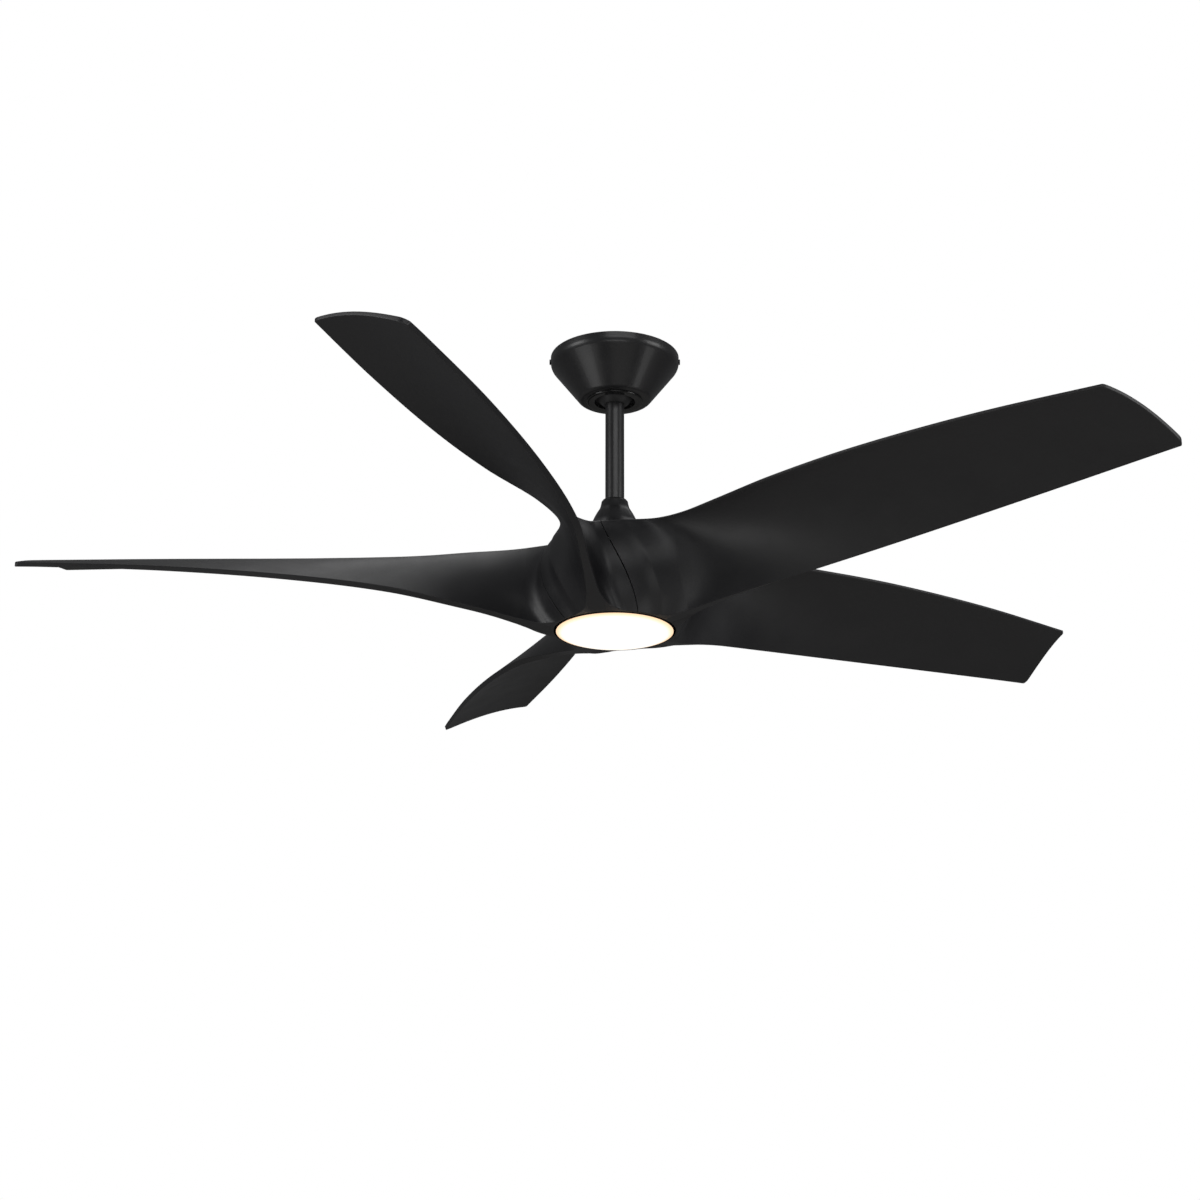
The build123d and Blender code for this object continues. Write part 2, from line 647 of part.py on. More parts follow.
def barrel_edges(inset):
    """The barrel's side and rounded shoulder, from the bottom edge to the deck, moved in by inset."""
    low = (hub_r(HUB_LOW) - inset, up(HUB_LOW))
    middle = (HUB_R - inset, up(HUB_MID))
    shoulder = (hub_r(HUB_SHOULDER) - inset, up(HUB_SHOULDER))
    deck = (DECK_R + (0.5 if 0 < inset < HUB_WALL else 0), up(HUB_HIGH) - inset)
    bend = ((shoulder[0] + deck[0]) / 2 + 3.0 - 0.2 * inset, (shoulder[1] + deck[1]) / 2 + 2.6 - 0.2 * inset)
    return low, deck, [ThreePointArc(low, middle, shoulder).edge(), ThreePointArc(shoulder, bend, deck).edge()]


def hub_shell():
    outer_low, outer_deck, outer = barrel_edges(0)
    inner_low, inner_deck, inner = barrel_edges(HUB_WALL)
    ends = [Line(outer_deck, inner_deck).edge(), Line(inner_low, outer_low).edge()]
    return revolve(Plane.XZ * make_face(Wire(outer + inner + ends)), Axis.Z)


def wing_cutter():
    """Everything inside the middle of the shell's wall, and straight out through both openings."""
    low, deck, side = barrel_edges(HUB_WALL / 2)
    deck_r = deck[0]
    floor, roof = up(-40), up(HUB_HIGH + 40)
    ends = [
        Line(deck, (deck_r, roof)).edge(),
        Line((deck_r, roof), (0, roof)).edge(),
        Line((0, roof), (0, floor)).edge(),
        Line((0, floor), (low[0], floor)).edge(),
        Line((low[0], floor), low).edge(),
    ]
    return revolve(Plane.XZ * make_face(Wire(side + ends)), Axis.Z)


def sector_wedge():
    """Twisted wedge between two seams, half a seam gap inside each."""
    start, height = -10.0, HUB_HIGH + 20.0
    inset = math.degrees(SEAM_GAP / 2 / HUB_R)
    first = seam_angle(start) + inset
    last = first + PITCH - 2 * inset
    far = 2 * HUB_R
    low = up(start)
    outline = Polyline(polar(30, first, low), polar(far, first, low), polar(far, last, low), polar(30, last, low),
                       close=True)
    return Solid.extrude_linear_with_rotation(Wire(outline.edges()), (0, 0, low), (0, 0, height),
                                              SEAM_TWIST * height)


def station_x(reach):
    return ROOT_R + reach * (TIP_RADIUS - ROOT_R)


def station_slope(index, column):
    """Slope of one column of the station table, for the smooth curve through it."""
    before = BLADE_STATIONS[max(index - 1, 0)]
    after = BLADE_STATIONS[min(index + 1, len(BLADE_STATIONS) - 1)]
    return (after[column] - before[column]) / (after[0] - before[0])


def station_at(reach):
    """Blade section between two stations of the table, on a cubic curve through each column."""
    index = max(i for i in range(len(BLADE_STATIONS) - 1) if BLADE_STATIONS[i][0] <= reach + 1e-9)
    start, end = BLADE_STATIONS[index], BLADE_STATIONS[index + 1]
    span = end[0] - start[0]
    t = (reach - start[0]) / span
    values = [reach]
    for column in range(1, len(start)):
        out_slope = station_slope(index, column) * span
        in_slope = station_slope(index + 1, column) * span
        values.append((2 * t ** 3 - 3 * t ** 2 + 1) * start[column] + (t ** 3 - 2 * t ** 2 + t) * out_slope
                      + (3 * t ** 2 - 2 * t ** 3) * end[column] + (t ** 3 - t ** 2) * in_slope)
    return values


def blade_point(station, share, side):
    """Point of a blade section: share is 0 at the trailing edge and 1 at the leading edge."""
    reach, lead_y, lead_z, trail_y, trail_z, camber, band = station
    dy, dz = lead_y - trail_y, lead_z - trail_z
    chord = math.hypot(dy, dz)
    across = (dz / chord, -dy / chord)
    rise = camber * 4 * share * (1 - share) * (0.75 + 0.5 * share)
    slope = camber * (4 * (1 - 2 * share) * (0.75 + 0.5 * share) + 2 * share * (1 - share))
    along_y, along_z = dy + slope * across[0], dz + slope * across[1]
    length = math.hypot(along_y, along_z)
    half = side * (EDGE_HALF + (band / 2 - EDGE_HALF) * (1 - share) ** 2.2)
    y = trail_y + share * dy + rise * across[0] + half * along_z / length
    z = trail_z + share * dz + rise * across[1] - half * along_y / length
    return Vector(station_x(reach), y, up(z))


def blade_section(station):
    under = [blade_point(station, share, -1) for share in CHORD_STEPS]
    over = [blade_point(station, share, 1) for share in CHORD_STEPS]
    return Wire([
        Edge.make_spline(under),
        Edge.make_line(under[-1], over[-1]),
        Edge.make_spline(over[::-1]),
        Edge.make_line(over[0], under[0]),
    ])


def tip_outline():
    """Plan outline of the blade's outer end, with its two rounded corners."""
    start = TIP_RADIUS - TIP_ZONE
    far = 3 * HUB_R
    lead = (TIP_RADIUS - TIP_SWEEP, TIP_LEAD_Y[1])
    trail = (TIP_RADIUS, TIP_TRAIL_Y[1])
    middle = ((lead[0] + trail[0]) / 2 + TIP_BULGE, (lead[1] + trail[1]) / 2)
    path = Polyline(trail, (start, TIP_TRAIL_Y[0]), (start, far), (0, far), (0, -far), (start, -far),
                    (start, TIP_LEAD_Y[0]), lead)
    face = make_face(Wire(path.edges() + [ThreePointArc(lead, middle, trail).edge()]))
    for corner, radius in ((lead, LEAD_CORNER_R), (trail, TRAIL_CORNER_R)):
        face = fillet(face.vertices().sort_by_distance((*corner, 0))[0], radius)
    return Pos(0, 0, up(-60)) * extrude(face, HUB_HIGH + 120)


def blade_root():
    """Sector of the hub's shell between two seams, with the inner shelf that the blade's screws pass through."""
    low, high = FLANGE_LOW + FLANGE_T, FLANGE_LOW + FLANGE_T + LUG_T
    barrel = hub_shell() + ring(hub_r(high) - 1, LUG_INNER_R, up(low), up(high))
    root = barrel & sector_wedge()
    for angle in lug_angles():
        x, y, _ = polar(BLADE_SCREW_CIRCLE_R, angle)
        root -= bar((x, y, up(low) - 1), (x, y, up(high) + 1), BLADE_SCREW_R + SLIP)
    return root


def lug_angles():
    middle = seam_angle(FLANGE_LOW + FLANGE_T) + PITCH / 2
    return [middle + step * BLADE_SCREW_SPREAD for step in (-1, 0, 1)]


def blade_screw_angles():
    return [angle + FIRST_BLADE_ANGLE + PITCH * i for i in range(BLADE_COUNT) for angle in lug_angles()]


def blade():
    first, last = BLADE_STATIONS[0][0], BLADE_STATIONS[-1][0]
    reaches = [first + (last - first) * i / (BLADE_SECTIONS - 1) for i in range(BLADE_SECTIONS)]
    wing = Solid.make_loft([blade_section(station_at(reach)) for reach in reaches])
    wing = (wing - wing_cutter()) & tip_outline()
    return blade_root() + wing


def blade_screws():
    shape = screw(4.2, 3.0, BLADE_SCREW_R, LUG_T + FLANGE_T + 2)
    seat = up(FLANGE_LOW + FLANGE_T + LUG_T)
    return group([Pos(*polar(BLADE_SCREW_CIRCLE_R, angle, seat)) * shape for angle in blade_screw_angles()])


def post_angles():
    return [FIRST_BLADE_ANGLE + PITCH * i for i in range(BLADE_COUNT)]


def hub_top_cover():
    top = up(HUB_HIGH) - 0.3
    seat = up(FLANGE_LOW + FLANGE_T)
    cover = ring(DECK_R - 0.3, TOP_COVER_INNER_R, top - TOP_COVER_T, top)
    for angle in post_angles():
        x, y, _ = polar(POST_CIRCLE_R, angle)
        cover += bar((x, y, seat), (x, y, top - TOP_COVER_T), 4.0)
        cover -= bar((x, y, seat), (x, y, top), 1.6)
    return cover


def top_cover_screws():
    top = up(HUB_HIGH) - 0.3
    shape = screw(3.2, 1.4, 1.45, top - up(FLANGE_LOW) - 1)
    return group([Pos(*polar(POST_CIRCLE_R, angle, top)) * shape for angle in post_angles()])


# ---- Light kit ----

def light_mount_plate():
    plate = ring(LIGHT_R - 3, THREAD_R + SLIP, up(PLATE_LOW), up(PLATE_TOP))
    for hole in around(bar((pan_screw_r(), 0, up(PLATE_LOW)), (pan_screw_r(), 0, up(PLATE_TOP)), 1.9), 3, 90):
        plate -= hole
    for x, y in module_screw_places():
        plate -= bar((x, y, up(PLATE_LOW)), (x, y, up(PLATE_TOP)), 1.5)
    return plate


def plate_lock_nut():
    nut = extrude(RegularPolygon(13.0, 6), PLATE_LOW - SHAFT_END - 1)
    return Pos(0, 0, up(SHAFT_END + 1)) * nut - ring(THREAD_R + SLIP, 0, up(SHAFT_END), up(PLATE_LOW))


def pan_screw_r():
    return (BOARD_R + LIGHT_R - PAN_WALL) / 2 - 0.6


def light_housing():
    top = up(PLATE_LOW)
    inner_r = LIGHT_R - PAN_WALL
    pan = turned(
        [
            (PAN_HOLE_R, top - PAN_WALL),
            (PAN_HOLE_R, top),
            (LIGHT_R, top),
            (LIGHT_R, up(PAN_LOW)),
            (inner_r, up(PAN_LOW)),
            (inner_r, top - PAN_WALL),
        ],
        [(2, 1.5)],
    )
    for ledge in around(arc_block(COLLAR_R + 0.4, inner_r + 0.5, up(LEDGE_LOW), up(LEDGE_LOW + LEDGE_T), 0, 40), 3, 30):
        pan += ledge
    for hole in around(bar((pan_screw_r(), 0, top - PAN_WALL), (pan_screw_r(), 0, top), 1.9), 3, 90):
        pan -= hole
    for hole in around(bar((34, 0, top - PAN_WALL), (34, 0, top), 1.5), 3, 30):
        pan -= hole
    return pan


def light_housing_screws():
    shape = Rot(180, 0, 0) * screw(3.0, 2.0, 1.85, PAN_WALL + PLATE_T + 1.5)
    return group(around(Pos(pan_screw_r(), 0, up(PLATE_LOW) - PAN_WALL) * shape, 3, 90))


def board_low():
    return up(PLATE_LOW) - PAN_WALL - BOARD_T


def led_board():
    board = ring(BOARD_R, PAN_HOLE_R + 2, board_low(), board_low() + BOARD_T)
    for hole in around(bar((34, 0, board_low()), (34, 0, board_low() + BOARD_T), 1.6), 3, 30):
        board -= hole
    return board


def led_chips():
    chip = Pos(0, 0, board_low() - CHIP[2] / 2) * Box(*CHIP)
    return group([piece for radius, count in CHIP_RINGS for piece in around(Pos(radius, 0, 0) * chip, count, 4)])


def board_screws():
    shape = Rot(180, 0, 0) * screw(2.6, 1.6, 1.45, BOARD_T + PAN_WALL)
    return group(around(Pos(34, 0, board_low()) * shape, 3, 30))


def lens():
    """Opal dome with a collar and three bayonet tabs above the pan's ledges."""
    rim_r = LIGHT_R
    lip = up(0) + 0.2
    depth = LENS_DROP
    outer_arc_r = (rim_r ** 2 + depth ** 2) / (2 * depth)
    side = (rim_r * 0.6, up(0) - depth + outer_arc_r - math.sqrt(outer_arc_r ** 2 - (rim_r * 0.6) ** 2))
    inner_r = COLLAR_R - COLLAR_WALL
    inner_depth = depth - LENS_WALL
    inner_arc_r = (inner_r ** 2 + inner_depth ** 2) / (2 * inner_depth)
    inner_side = (inner_r * 0.6, up(0) - inner_depth + inner_arc_r - math.sqrt(inner_arc_r ** 2 - (inner_r * 0.6) ** 2))
    collar_top = up(LEDGE_LOW + LEDGE_T + TAB_T + 1)
    edges = [
        ThreePointArc((0, up(0) - depth), side, (rim_r, up(0))).edge(),
        Line((rim_r, up(0)), (rim_r, lip)).edge(),
        Line((rim_r, lip), (COLLAR_R, lip)).edge(),
        Line((COLLAR_R, lip), (COLLAR_R, collar_top)).edge(),
        Line((COLLAR_R, collar_top), (inner_r, collar_top)).edge(),
        Line((inner_r, collar_top), (inner_r, up(0))).edge(),
        ThreePointArc((inner_r, up(0)), inner_side, (0, up(0) - inner_depth)).edge(),
        Line((0, up(0) - inner_depth), (0, up(0) - depth)).edge(),
    ]
    body = revolve(Plane.XZ * make_face(Wire(edges)), Axis.Z)
    tab_low = up(LEDGE_LOW + LEDGE_T) + 0.3
    tab = arc_block(COLLAR_R - 0.5, LIGHT_R - PAN_WALL - 0.4, tab_low, tab_low + TAB_T, 0, TAB_ARC)
    for piece in around(tab, 3, 30):
        body += piece
    return body


def module_case(side):
    """Potted electronics module on the light plate, with a screw ear at each end."""
    length, width, height = MODULE
    low = up(PLATE_TOP)
    case = Pos(side * MODULE_X, 0, low + height / 2) * Box(length, width, height)
    case = fillet(case.edges().filter_by(Axis.Z), 2.0)
    for x, y in module_screw_places():
        if x * side > 0:
            inner = math.copysign(width / 2 - 1, y)
            case += block((x - 4, x + 4), (inner, y + math.copysign(3.5, y)), (low, low + 1.6))
            case -= bar((x, y, low), (x, y, low + 1.6), 1.6)
    return case


def module_screw_places():
    ear_y = MODULE[1] / 2 + 4
    return [(side * MODULE_X, end * ear_y) for side in (-1, 1) for end in (-1, 1)]


def module_screws():
    shape = screw(2.8, 1.8, 1.45, 1.6 + PLATE_T)
    return group([Pos(x, y, up(PLATE_TOP) + 1.6) * shape for x, y in module_screw_places()])


def lead_bundle():
    """Straight run of the internal leads, inside the shaft and the downrod; they part round both cross pins."""
    bundle = ring(BUNDLE_R, 0, up(SHAFT_END), ROD_TOP + 3)
    for z in (BALL_Z, yoke_pin_z()):
        bundle -= bar((-ROD_R, 0, z), (ROD_R, 0, z), PIN_R + SEAT_GAP)
    return bundle


# ---- All nodes ----

def build_nodes():
    nodes = {
        "hanger_bracket": hanger_bracket(),
        "canopy": canopy(),
        "canopy_trim_ring": trim_ring(),
        "canopy_screws": canopy_screws(),
        "control_receiver": control_receiver(),
        "socket_key_pin": socket_key(),
        "hanger_ball": hanger_ball(),
        "ball_cross_pin": ball_cross_pin(),
        "ball_set_screw": ball_set_screw(),
        "downrod": downrod(),
        "motor_yoke": motor_yoke(),
        "yoke_clevis_pin": yoke_clevis_pin(),
        "yoke_clip": yoke_clip(),
        "yoke_set_screws": yoke_set_screws(),
        "coupling_cover": coupling_cover(),
        "cover_grommet": cover_grommet(),
        "motor_shaft": motor_shaft(),
        "bearing_inner_races": inner_races(),
        "bearing_outer_races": outer_races(),
        "upper_bearing_balls": bearing_balls(UPPER_BEARING),
        "upper_bearing_cage": bearing_cage(UPPER_BEARING),
        "lower_bearing_balls": bearing_balls(LOWER_BEARING),
        "lower_bearing_cage": bearing_cage(LOWER_BEARING),
        "stator_carrier": stator_carrier(),
        "stator_core": stator_core(),
        "stator_windings": stator_windings(),
        "rotor_upper_housing": rotor_upper_housing(),
        "rotor_lower_housing": rotor_lower_housing(),
        "rotor_housing_screws": housing_screws(),
        "back_iron_ring": back_iron(),
        "rotor_magnets": rotor_magnets(),
        "blade_screws": blade_screws(),
        "hub_top_cover": hub_top_cover(),
        "top_cover_screws": top_cover_screws(),
        "light_mount_plate": light_mount_plate(),
        "plate_lock_nut": plate_lock_nut(),
        "light_housing": light_housing(),
        "light_housing_screws": light_housing_screws(),
        "led_board": led_board(),
        "led_chips": led_chips(),
        "led_board_screws": board_screws(),
        "lens": lens(),
        "led_driver": module_case(1),
        "motor_controller": module_case(-1),
        "module_screws": module_screws(),
        "lead_bundle": lead_bundle(),
    }
    for number, piece in enumerate(around(blade(), BLADE_COUNT, FIRST_BLADE_ANGLE), start=1):
        nodes[f"blade_{number}"] = piece
    return nodes


os.makedirs("parts", exist_ok=True)
for name, shape in build_nodes().items():
    export_step(shape, f"parts/{name}.step")
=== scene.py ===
import bmesh
import bpy
import json
import math
import numpy as np
from mathutils import Matrix, Vector


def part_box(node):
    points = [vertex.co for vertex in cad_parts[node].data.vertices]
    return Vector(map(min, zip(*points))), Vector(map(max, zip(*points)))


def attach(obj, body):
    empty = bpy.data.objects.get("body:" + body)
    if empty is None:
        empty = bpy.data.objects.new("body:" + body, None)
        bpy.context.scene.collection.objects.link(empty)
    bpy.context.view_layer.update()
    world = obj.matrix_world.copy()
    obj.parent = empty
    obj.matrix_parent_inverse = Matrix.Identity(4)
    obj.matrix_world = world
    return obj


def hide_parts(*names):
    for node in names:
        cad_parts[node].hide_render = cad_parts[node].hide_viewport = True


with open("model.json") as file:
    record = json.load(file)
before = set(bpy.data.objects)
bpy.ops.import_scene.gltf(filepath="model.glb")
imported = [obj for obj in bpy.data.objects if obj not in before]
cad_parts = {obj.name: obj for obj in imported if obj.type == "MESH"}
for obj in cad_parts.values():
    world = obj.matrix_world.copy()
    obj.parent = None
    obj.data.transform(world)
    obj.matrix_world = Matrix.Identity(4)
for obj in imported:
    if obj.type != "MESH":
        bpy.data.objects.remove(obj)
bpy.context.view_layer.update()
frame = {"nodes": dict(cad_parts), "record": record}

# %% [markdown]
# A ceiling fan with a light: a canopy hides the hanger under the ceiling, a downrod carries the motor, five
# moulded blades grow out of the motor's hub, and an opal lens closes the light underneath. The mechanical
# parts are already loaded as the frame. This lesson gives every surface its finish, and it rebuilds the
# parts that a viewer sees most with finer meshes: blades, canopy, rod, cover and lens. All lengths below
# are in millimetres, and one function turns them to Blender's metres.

MM = 0.001


def span(node):
    """Lowest and highest corner of a CAD node, in millimetres."""
    low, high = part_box(node)
    return low / MM, high / MM


LENS_DEPTH = 14.0
RIM_Z = span("lens")[0].z + LENS_DEPTH
print("light's rim is", round(-RIM_Z), "mm below the ceiling")

# %% [markdown]
# Colours are written as sRGB hex codes, the way a colour picker shows them, but Blender mixes light in
# linear values. One function makes that change, and one small function adds a shader node, sets its values
# and links its inputs. That keeps each finish a short list of what it is made of.

# %% Colours and shader nodes
def linear(code):
    """Linear RGBA of an sRGB hex code."""
    parts = [int(code[i:i + 2], 16) / 255 for i in (0, 2, 4)]
    return [c / 12.92 if c <= 0.04045 else ((c + 0.055) / 1.055) ** 2.4 for c in parts] + [1.0]


def add(finish, kind, inputs, **settings):
    """Adds one node. An input is a value, or (node, output) to link from."""
    node = finish.node_tree.nodes.new(kind)
    for name, value in settings.items():
        setattr(node, name, value)
    for socket, value in inputs.items():
        if isinstance(value, tuple) and isinstance(value[0], bpy.types.Node):
            finish.node_tree.links.new(value[0].outputs[value[1]], node.inputs[socket])
        else:
            node.inputs[socket].default_value = value
    return node


def empty_finish(name):
    """Material with an empty node tree."""
    finish = bpy.data.materials.new(name)
    finish.use_nodes = True
    finish.node_tree.nodes.clear()
    return finish


print("black paint in linear light:", [round(v, 4) for v in linear("2A2A2B")])

# %% [markdown]
# Most surfaces here are one material whose tone, gloss and height vary a little: moulded plastic, powder
# coat, plated steel. Two noises do it: a fine one at the size of the real grain, which drives the bump and
# a little of the gloss, and a broad one, several centimetres across, for the slow drift of tone that keeps
# a surface from looking printed. Object coordinates are in metres, so a grain of g millimetres needs a
# noise scale of 1000 / g.

# %% Grained finish
def grained(name, dark, light, grain, height, rough, rough_drift=0.06, metallic=0.0, ior=1.5, stretch=(1, 1, 1),
            coat=0.0, specular=0.5):
    """Material from two tones, a grain size and height in mm, and a roughness that drifts."""
    finish = empty_finish(name)
    place = add(finish, "ShaderNodeTexCoord", {})
    pulled = add(finish, "ShaderNodeMapping", {"Vector": (place, "Object"), "Scale": stretch})
    fine = add(finish, "ShaderNodeTexNoise", {"Vector": (pulled, "Vector"), "Scale": 1000 / grain, "Detail": 3.0})
    broad = add(finish, "ShaderNodeTexNoise", {"Vector": (pulled, "Vector"), "Scale": 22.0, "Detail": 4.0})
    both = add(finish, "ShaderNodeMath", {0: (fine, "Fac"), 1: (broad, "Fac")}, operation="ADD")
    tone = add(finish, "ShaderNodeMapRange", {"Value": (both, "Value"), "From Min": 0.7, "From Max": 1.3})
    colour = add(finish, "ShaderNodeMix", {0: (tone, "Result"), 6: linear(dark), 7: linear(light)}, data_type="RGBA")
    gloss = add(finish, "ShaderNodeMapRange", {"Value": (both, "Value"), "From Min": 0.7, "From Max": 1.3,
                                               "To Min": rough - rough_drift, "To Max": rough + rough_drift})
    bump = add(finish, "ShaderNodeBump", {"Height": (fine, "Fac"), "Distance": height * MM, "Strength": 1.0})
    shader = add(finish, "ShaderNodeBsdfPrincipled", {
        "Base Color": (colour, 2), "Roughness": (gloss, "Result"), "Normal": (bump, "Normal"),
        "Metallic": metallic, "IOR": ior, "Coat Weight": coat, "Specular IOR Level": specular})
    add(finish, "ShaderNodeOutputMaterial", {"Surface": (shader, "BSDF")})
    return finish


FINISHES = {}

# %% [markdown]
# The blades and the hub are ABS, moulded in one piece in a steel tool whose faces were spark-eroded. That
# leaves a fine even grain about 0.4 mm across, which breaks the gloss into a soft satin sheen and never a
# mirror. The grain is drawn about 1.6 mm across so that it still shows from across a room.

# %% Moulded ABS
FINISHES["blade_plastic"] = grained("abs_spark_eroded_black", "17171A", "1E1E20", grain=1.6, height=0.03, rough=0.42)

# %% [markdown]
# The canopy, the downrod and the cover over the joint are steel with a black powder coat. The powder melts
# and flows into a skin with a faint orange-peel ripple, 1 to 2 mm across, so highlights keep their place
# but lose sharp edges.

# %% Powder coat
FINISHES["black_paint"] = grained("steel_powder_coated_black", "202021", "272729", grain=1.8, height=0.02, rough=0.34,
                                  rough_drift=0.04, coat=0.1)

# %% [markdown]
# The ring that closes the canopy is moulded in a polished tool. It is the one glossy black part, so it
# carries a sharp line of light. A trace of long ripple is left in the plastic where it cooled.

# %% Polished moulding
FINISHES["gloss_black_trim"] = grained("abs_polished_black", "161617", "1D1D1E", grain=6.0, height=0.01, rough=0.14,
                                       rough_drift=0.04)

# %% [markdown]
# Steel parts under the canopy are pressed and dipped in black, or plated with zinc. Dip coating pools a
# little, so its tone drifts in patches. Zinc plating shows fine spangle and a slight yellow cast against
# the cooler bare steel.

# %% Pressed and plated steel
FINISHES["black_steel"] = grained("steel_dip_coated_black", "2A2A2C", "38383A", grain=1.2, height=0.02, rough=0.45,
                                  rough_drift=0.1)
FINISHES["black_screw"] = grained("steel_black_oxide", "262729", "3B3C3F", grain=0.8, height=0.01, rough=0.38,
                                  rough_drift=0.1, metallic=1.0)
FINISHES["zinc_steel"] = grained("steel_zinc_plated", "B4B3AC", "CFCEC8", grain=0.9, height=0.01, rough=0.32,
                                 rough_drift=0.08, metallic=1.0)

# %% [markdown]
# The yoke is cast in sand and painted, so its skin is rough, with grains about 1.5 mm across. The motor
# housings are die-cast aluminium: smoother, brighter, with the grey bloom that the die's release spray
# leaves.

# %% Castings
FINISHES["cast_yoke"] = grained("iron_sand_cast_painted", "242526", "343536", grain=1.5, height=0.12, rough=0.6)
FINISHES["cast_aluminium"] = grained("aluminium_die_cast", "A9ABAE", "C6C8CA", grain=2.4, height=0.04, rough=0.4,
                                     rough_drift=0.1, metallic=1.0)
FINISHES["pan_aluminium"] = grained("aluminium_anodised_black", "2A2B2C", "343536", grain=0.8, height=0.01, rough=0.36,
                                    metallic=0.6)

# %% [markdown]
# Small moulded parts: the hanger ball is nylon filled with short glass fibres, which show as pale streaks
# about 0.3 mm wide, drawn a little larger here. The receiver and driver cases are a flame-retardant blend
# with a plain matt grain. Rubber at the grommet and on the leads is darker and duller than any plastic
# beside it, with a faint dust bloom.

# %% Nylon, case plastic and rubber
FINISHES["ball_plastic"] = grained("nylon_glass_filled_black", "1E1E1F", "303031", grain=0.9, height=0.03, rough=0.5,
                                   stretch=(1, 1, 0.35))
FINISHES["module_plastic"] = grained("polycarbonate_case_black", "2E2E30", "3A3A3C", grain=1.0, height=0.04, rough=0.5)
FINISHES["cage_nylon"] = grained("nylon_natural_moulded", "D6CDB6", "E4DDC9", grain=1.2, height=0.02, rough=0.4)
FINISHES["black_rubber"] = grained("rubber_moulded_black", "1B1B1B", "272727", grain=0.7, height=0.03, rough=0.78,
                                   specular=0.3)
FINISHES["lead_insulation"] = grained("pvc_insulation_extruded", "4B4B4D", "5E5E61", grain=1.0, height=0.02, rough=0.5,
                                      stretch=(1, 1, 0.1))

# %% [markdown]
# Inside the motor: sintered ferrite magnets are matt and slightly gritty, and ground steel has fine lines
# that run round the shaft. Stretching the noise flat along the axis turns its grain into those lines.

# %% Magnets and ground steel
FINISHES["ferrite"] = grained("ferrite_sintered", "3C3C3F", "4B4B4E", grain=0.5, height=0.05, rough=0.62)
FINISHES["ground_steel"] = grained("steel_ground", "BDBEC0", "DADBDC", grain=2.0, height=0.008, rough=0.2,
                                   rough_drift=0.06, metallic=1.0, stretch=(0.3, 0.3, 6.0))

# %% [markdown]
# The stator is a stack of 0.5 mm electrical steel sheets, and the coils are enamelled copper wire about 0.8
# mm thick. Both are stripes: a wave texture with one band per sheet or per turn. A wave's bands are 1 /
# scale metres times about pi / 10 apart, so the scale is pi / 10 divided by the pitch.

# %% Laminations and windings
def striped(name, dark, light, pitch, axis, height, rough, metallic):
    """Material of fine stripes, pitch mm apart along an axis."""
    finish = empty_finish(name)
    place = add(finish, "ShaderNodeTexCoord", {})
    bands = add(finish, "ShaderNodeTexWave", {"Vector": (place, "Object"), "Scale": math.pi / 10 / (pitch * MM),
                                              "Distortion": 0.6, "Detail": 2.0}, bands_direction=axis)
    colour = add(finish, "ShaderNodeMix", {0: (bands, "Fac"), 6: linear(dark), 7: linear(light)}, data_type="RGBA")
    gloss = add(finish, "ShaderNodeMapRange", {"Value": (bands, "Fac"), "To Min": rough + 0.15, "To Max": rough})
    bump = add(finish, "ShaderNodeBump", {"Height": (bands, "Fac"), "Distance": height * MM})
    shader = add(finish, "ShaderNodeBsdfPrincipled", {
        "Base Color": (colour, 2), "Roughness": (gloss, "Result"), "Normal": (bump, "Normal"), "Metallic": metallic})
    add(finish, "ShaderNodeOutputMaterial", {"Surface": (shader, "BSDF")})
    return finish


FINISHES["lamination_steel"] = striped("steel_laminated_stack", "4C4D50", "8A8B8E", 1.0, "Z", 0.1, 0.35, 1.0)
FINISHES["copper_wire"] = striped("copper_enamelled_wire", "6E3216", "C4703A", 0.8, "Z", 0.25, 0.28, 1.0)

# %% [markdown]
# The light's board carries a white solder mask, a glossy lacquer over faint copper tracks, and each chip is
# a drop of silicone with yellow phosphor in it.

# %% Light board
FINISHES["board_mask"] = grained("solder_mask_white", "D9DCD6", "EFF1EC", grain=3.0, height=0.02, rough=0.25)
FINISHES["led_phosphor"] = grained("silicone_phosphor_yellow", "D9B24E", "F0D27A", grain=0.6, height=0.02, rough=0.22)

# %% [markdown]
# The lens is opal acrylic, 2 mm thick: clear plastic full of fine white filler that scatters the light of
# the chips until no single one shows. Lit, it is almost white in the middle and falls to a warm peach in
# the last centimetre, where fewer chips reach it. The fall follows the distance from the fan's axis, so it
# stays with the lens.

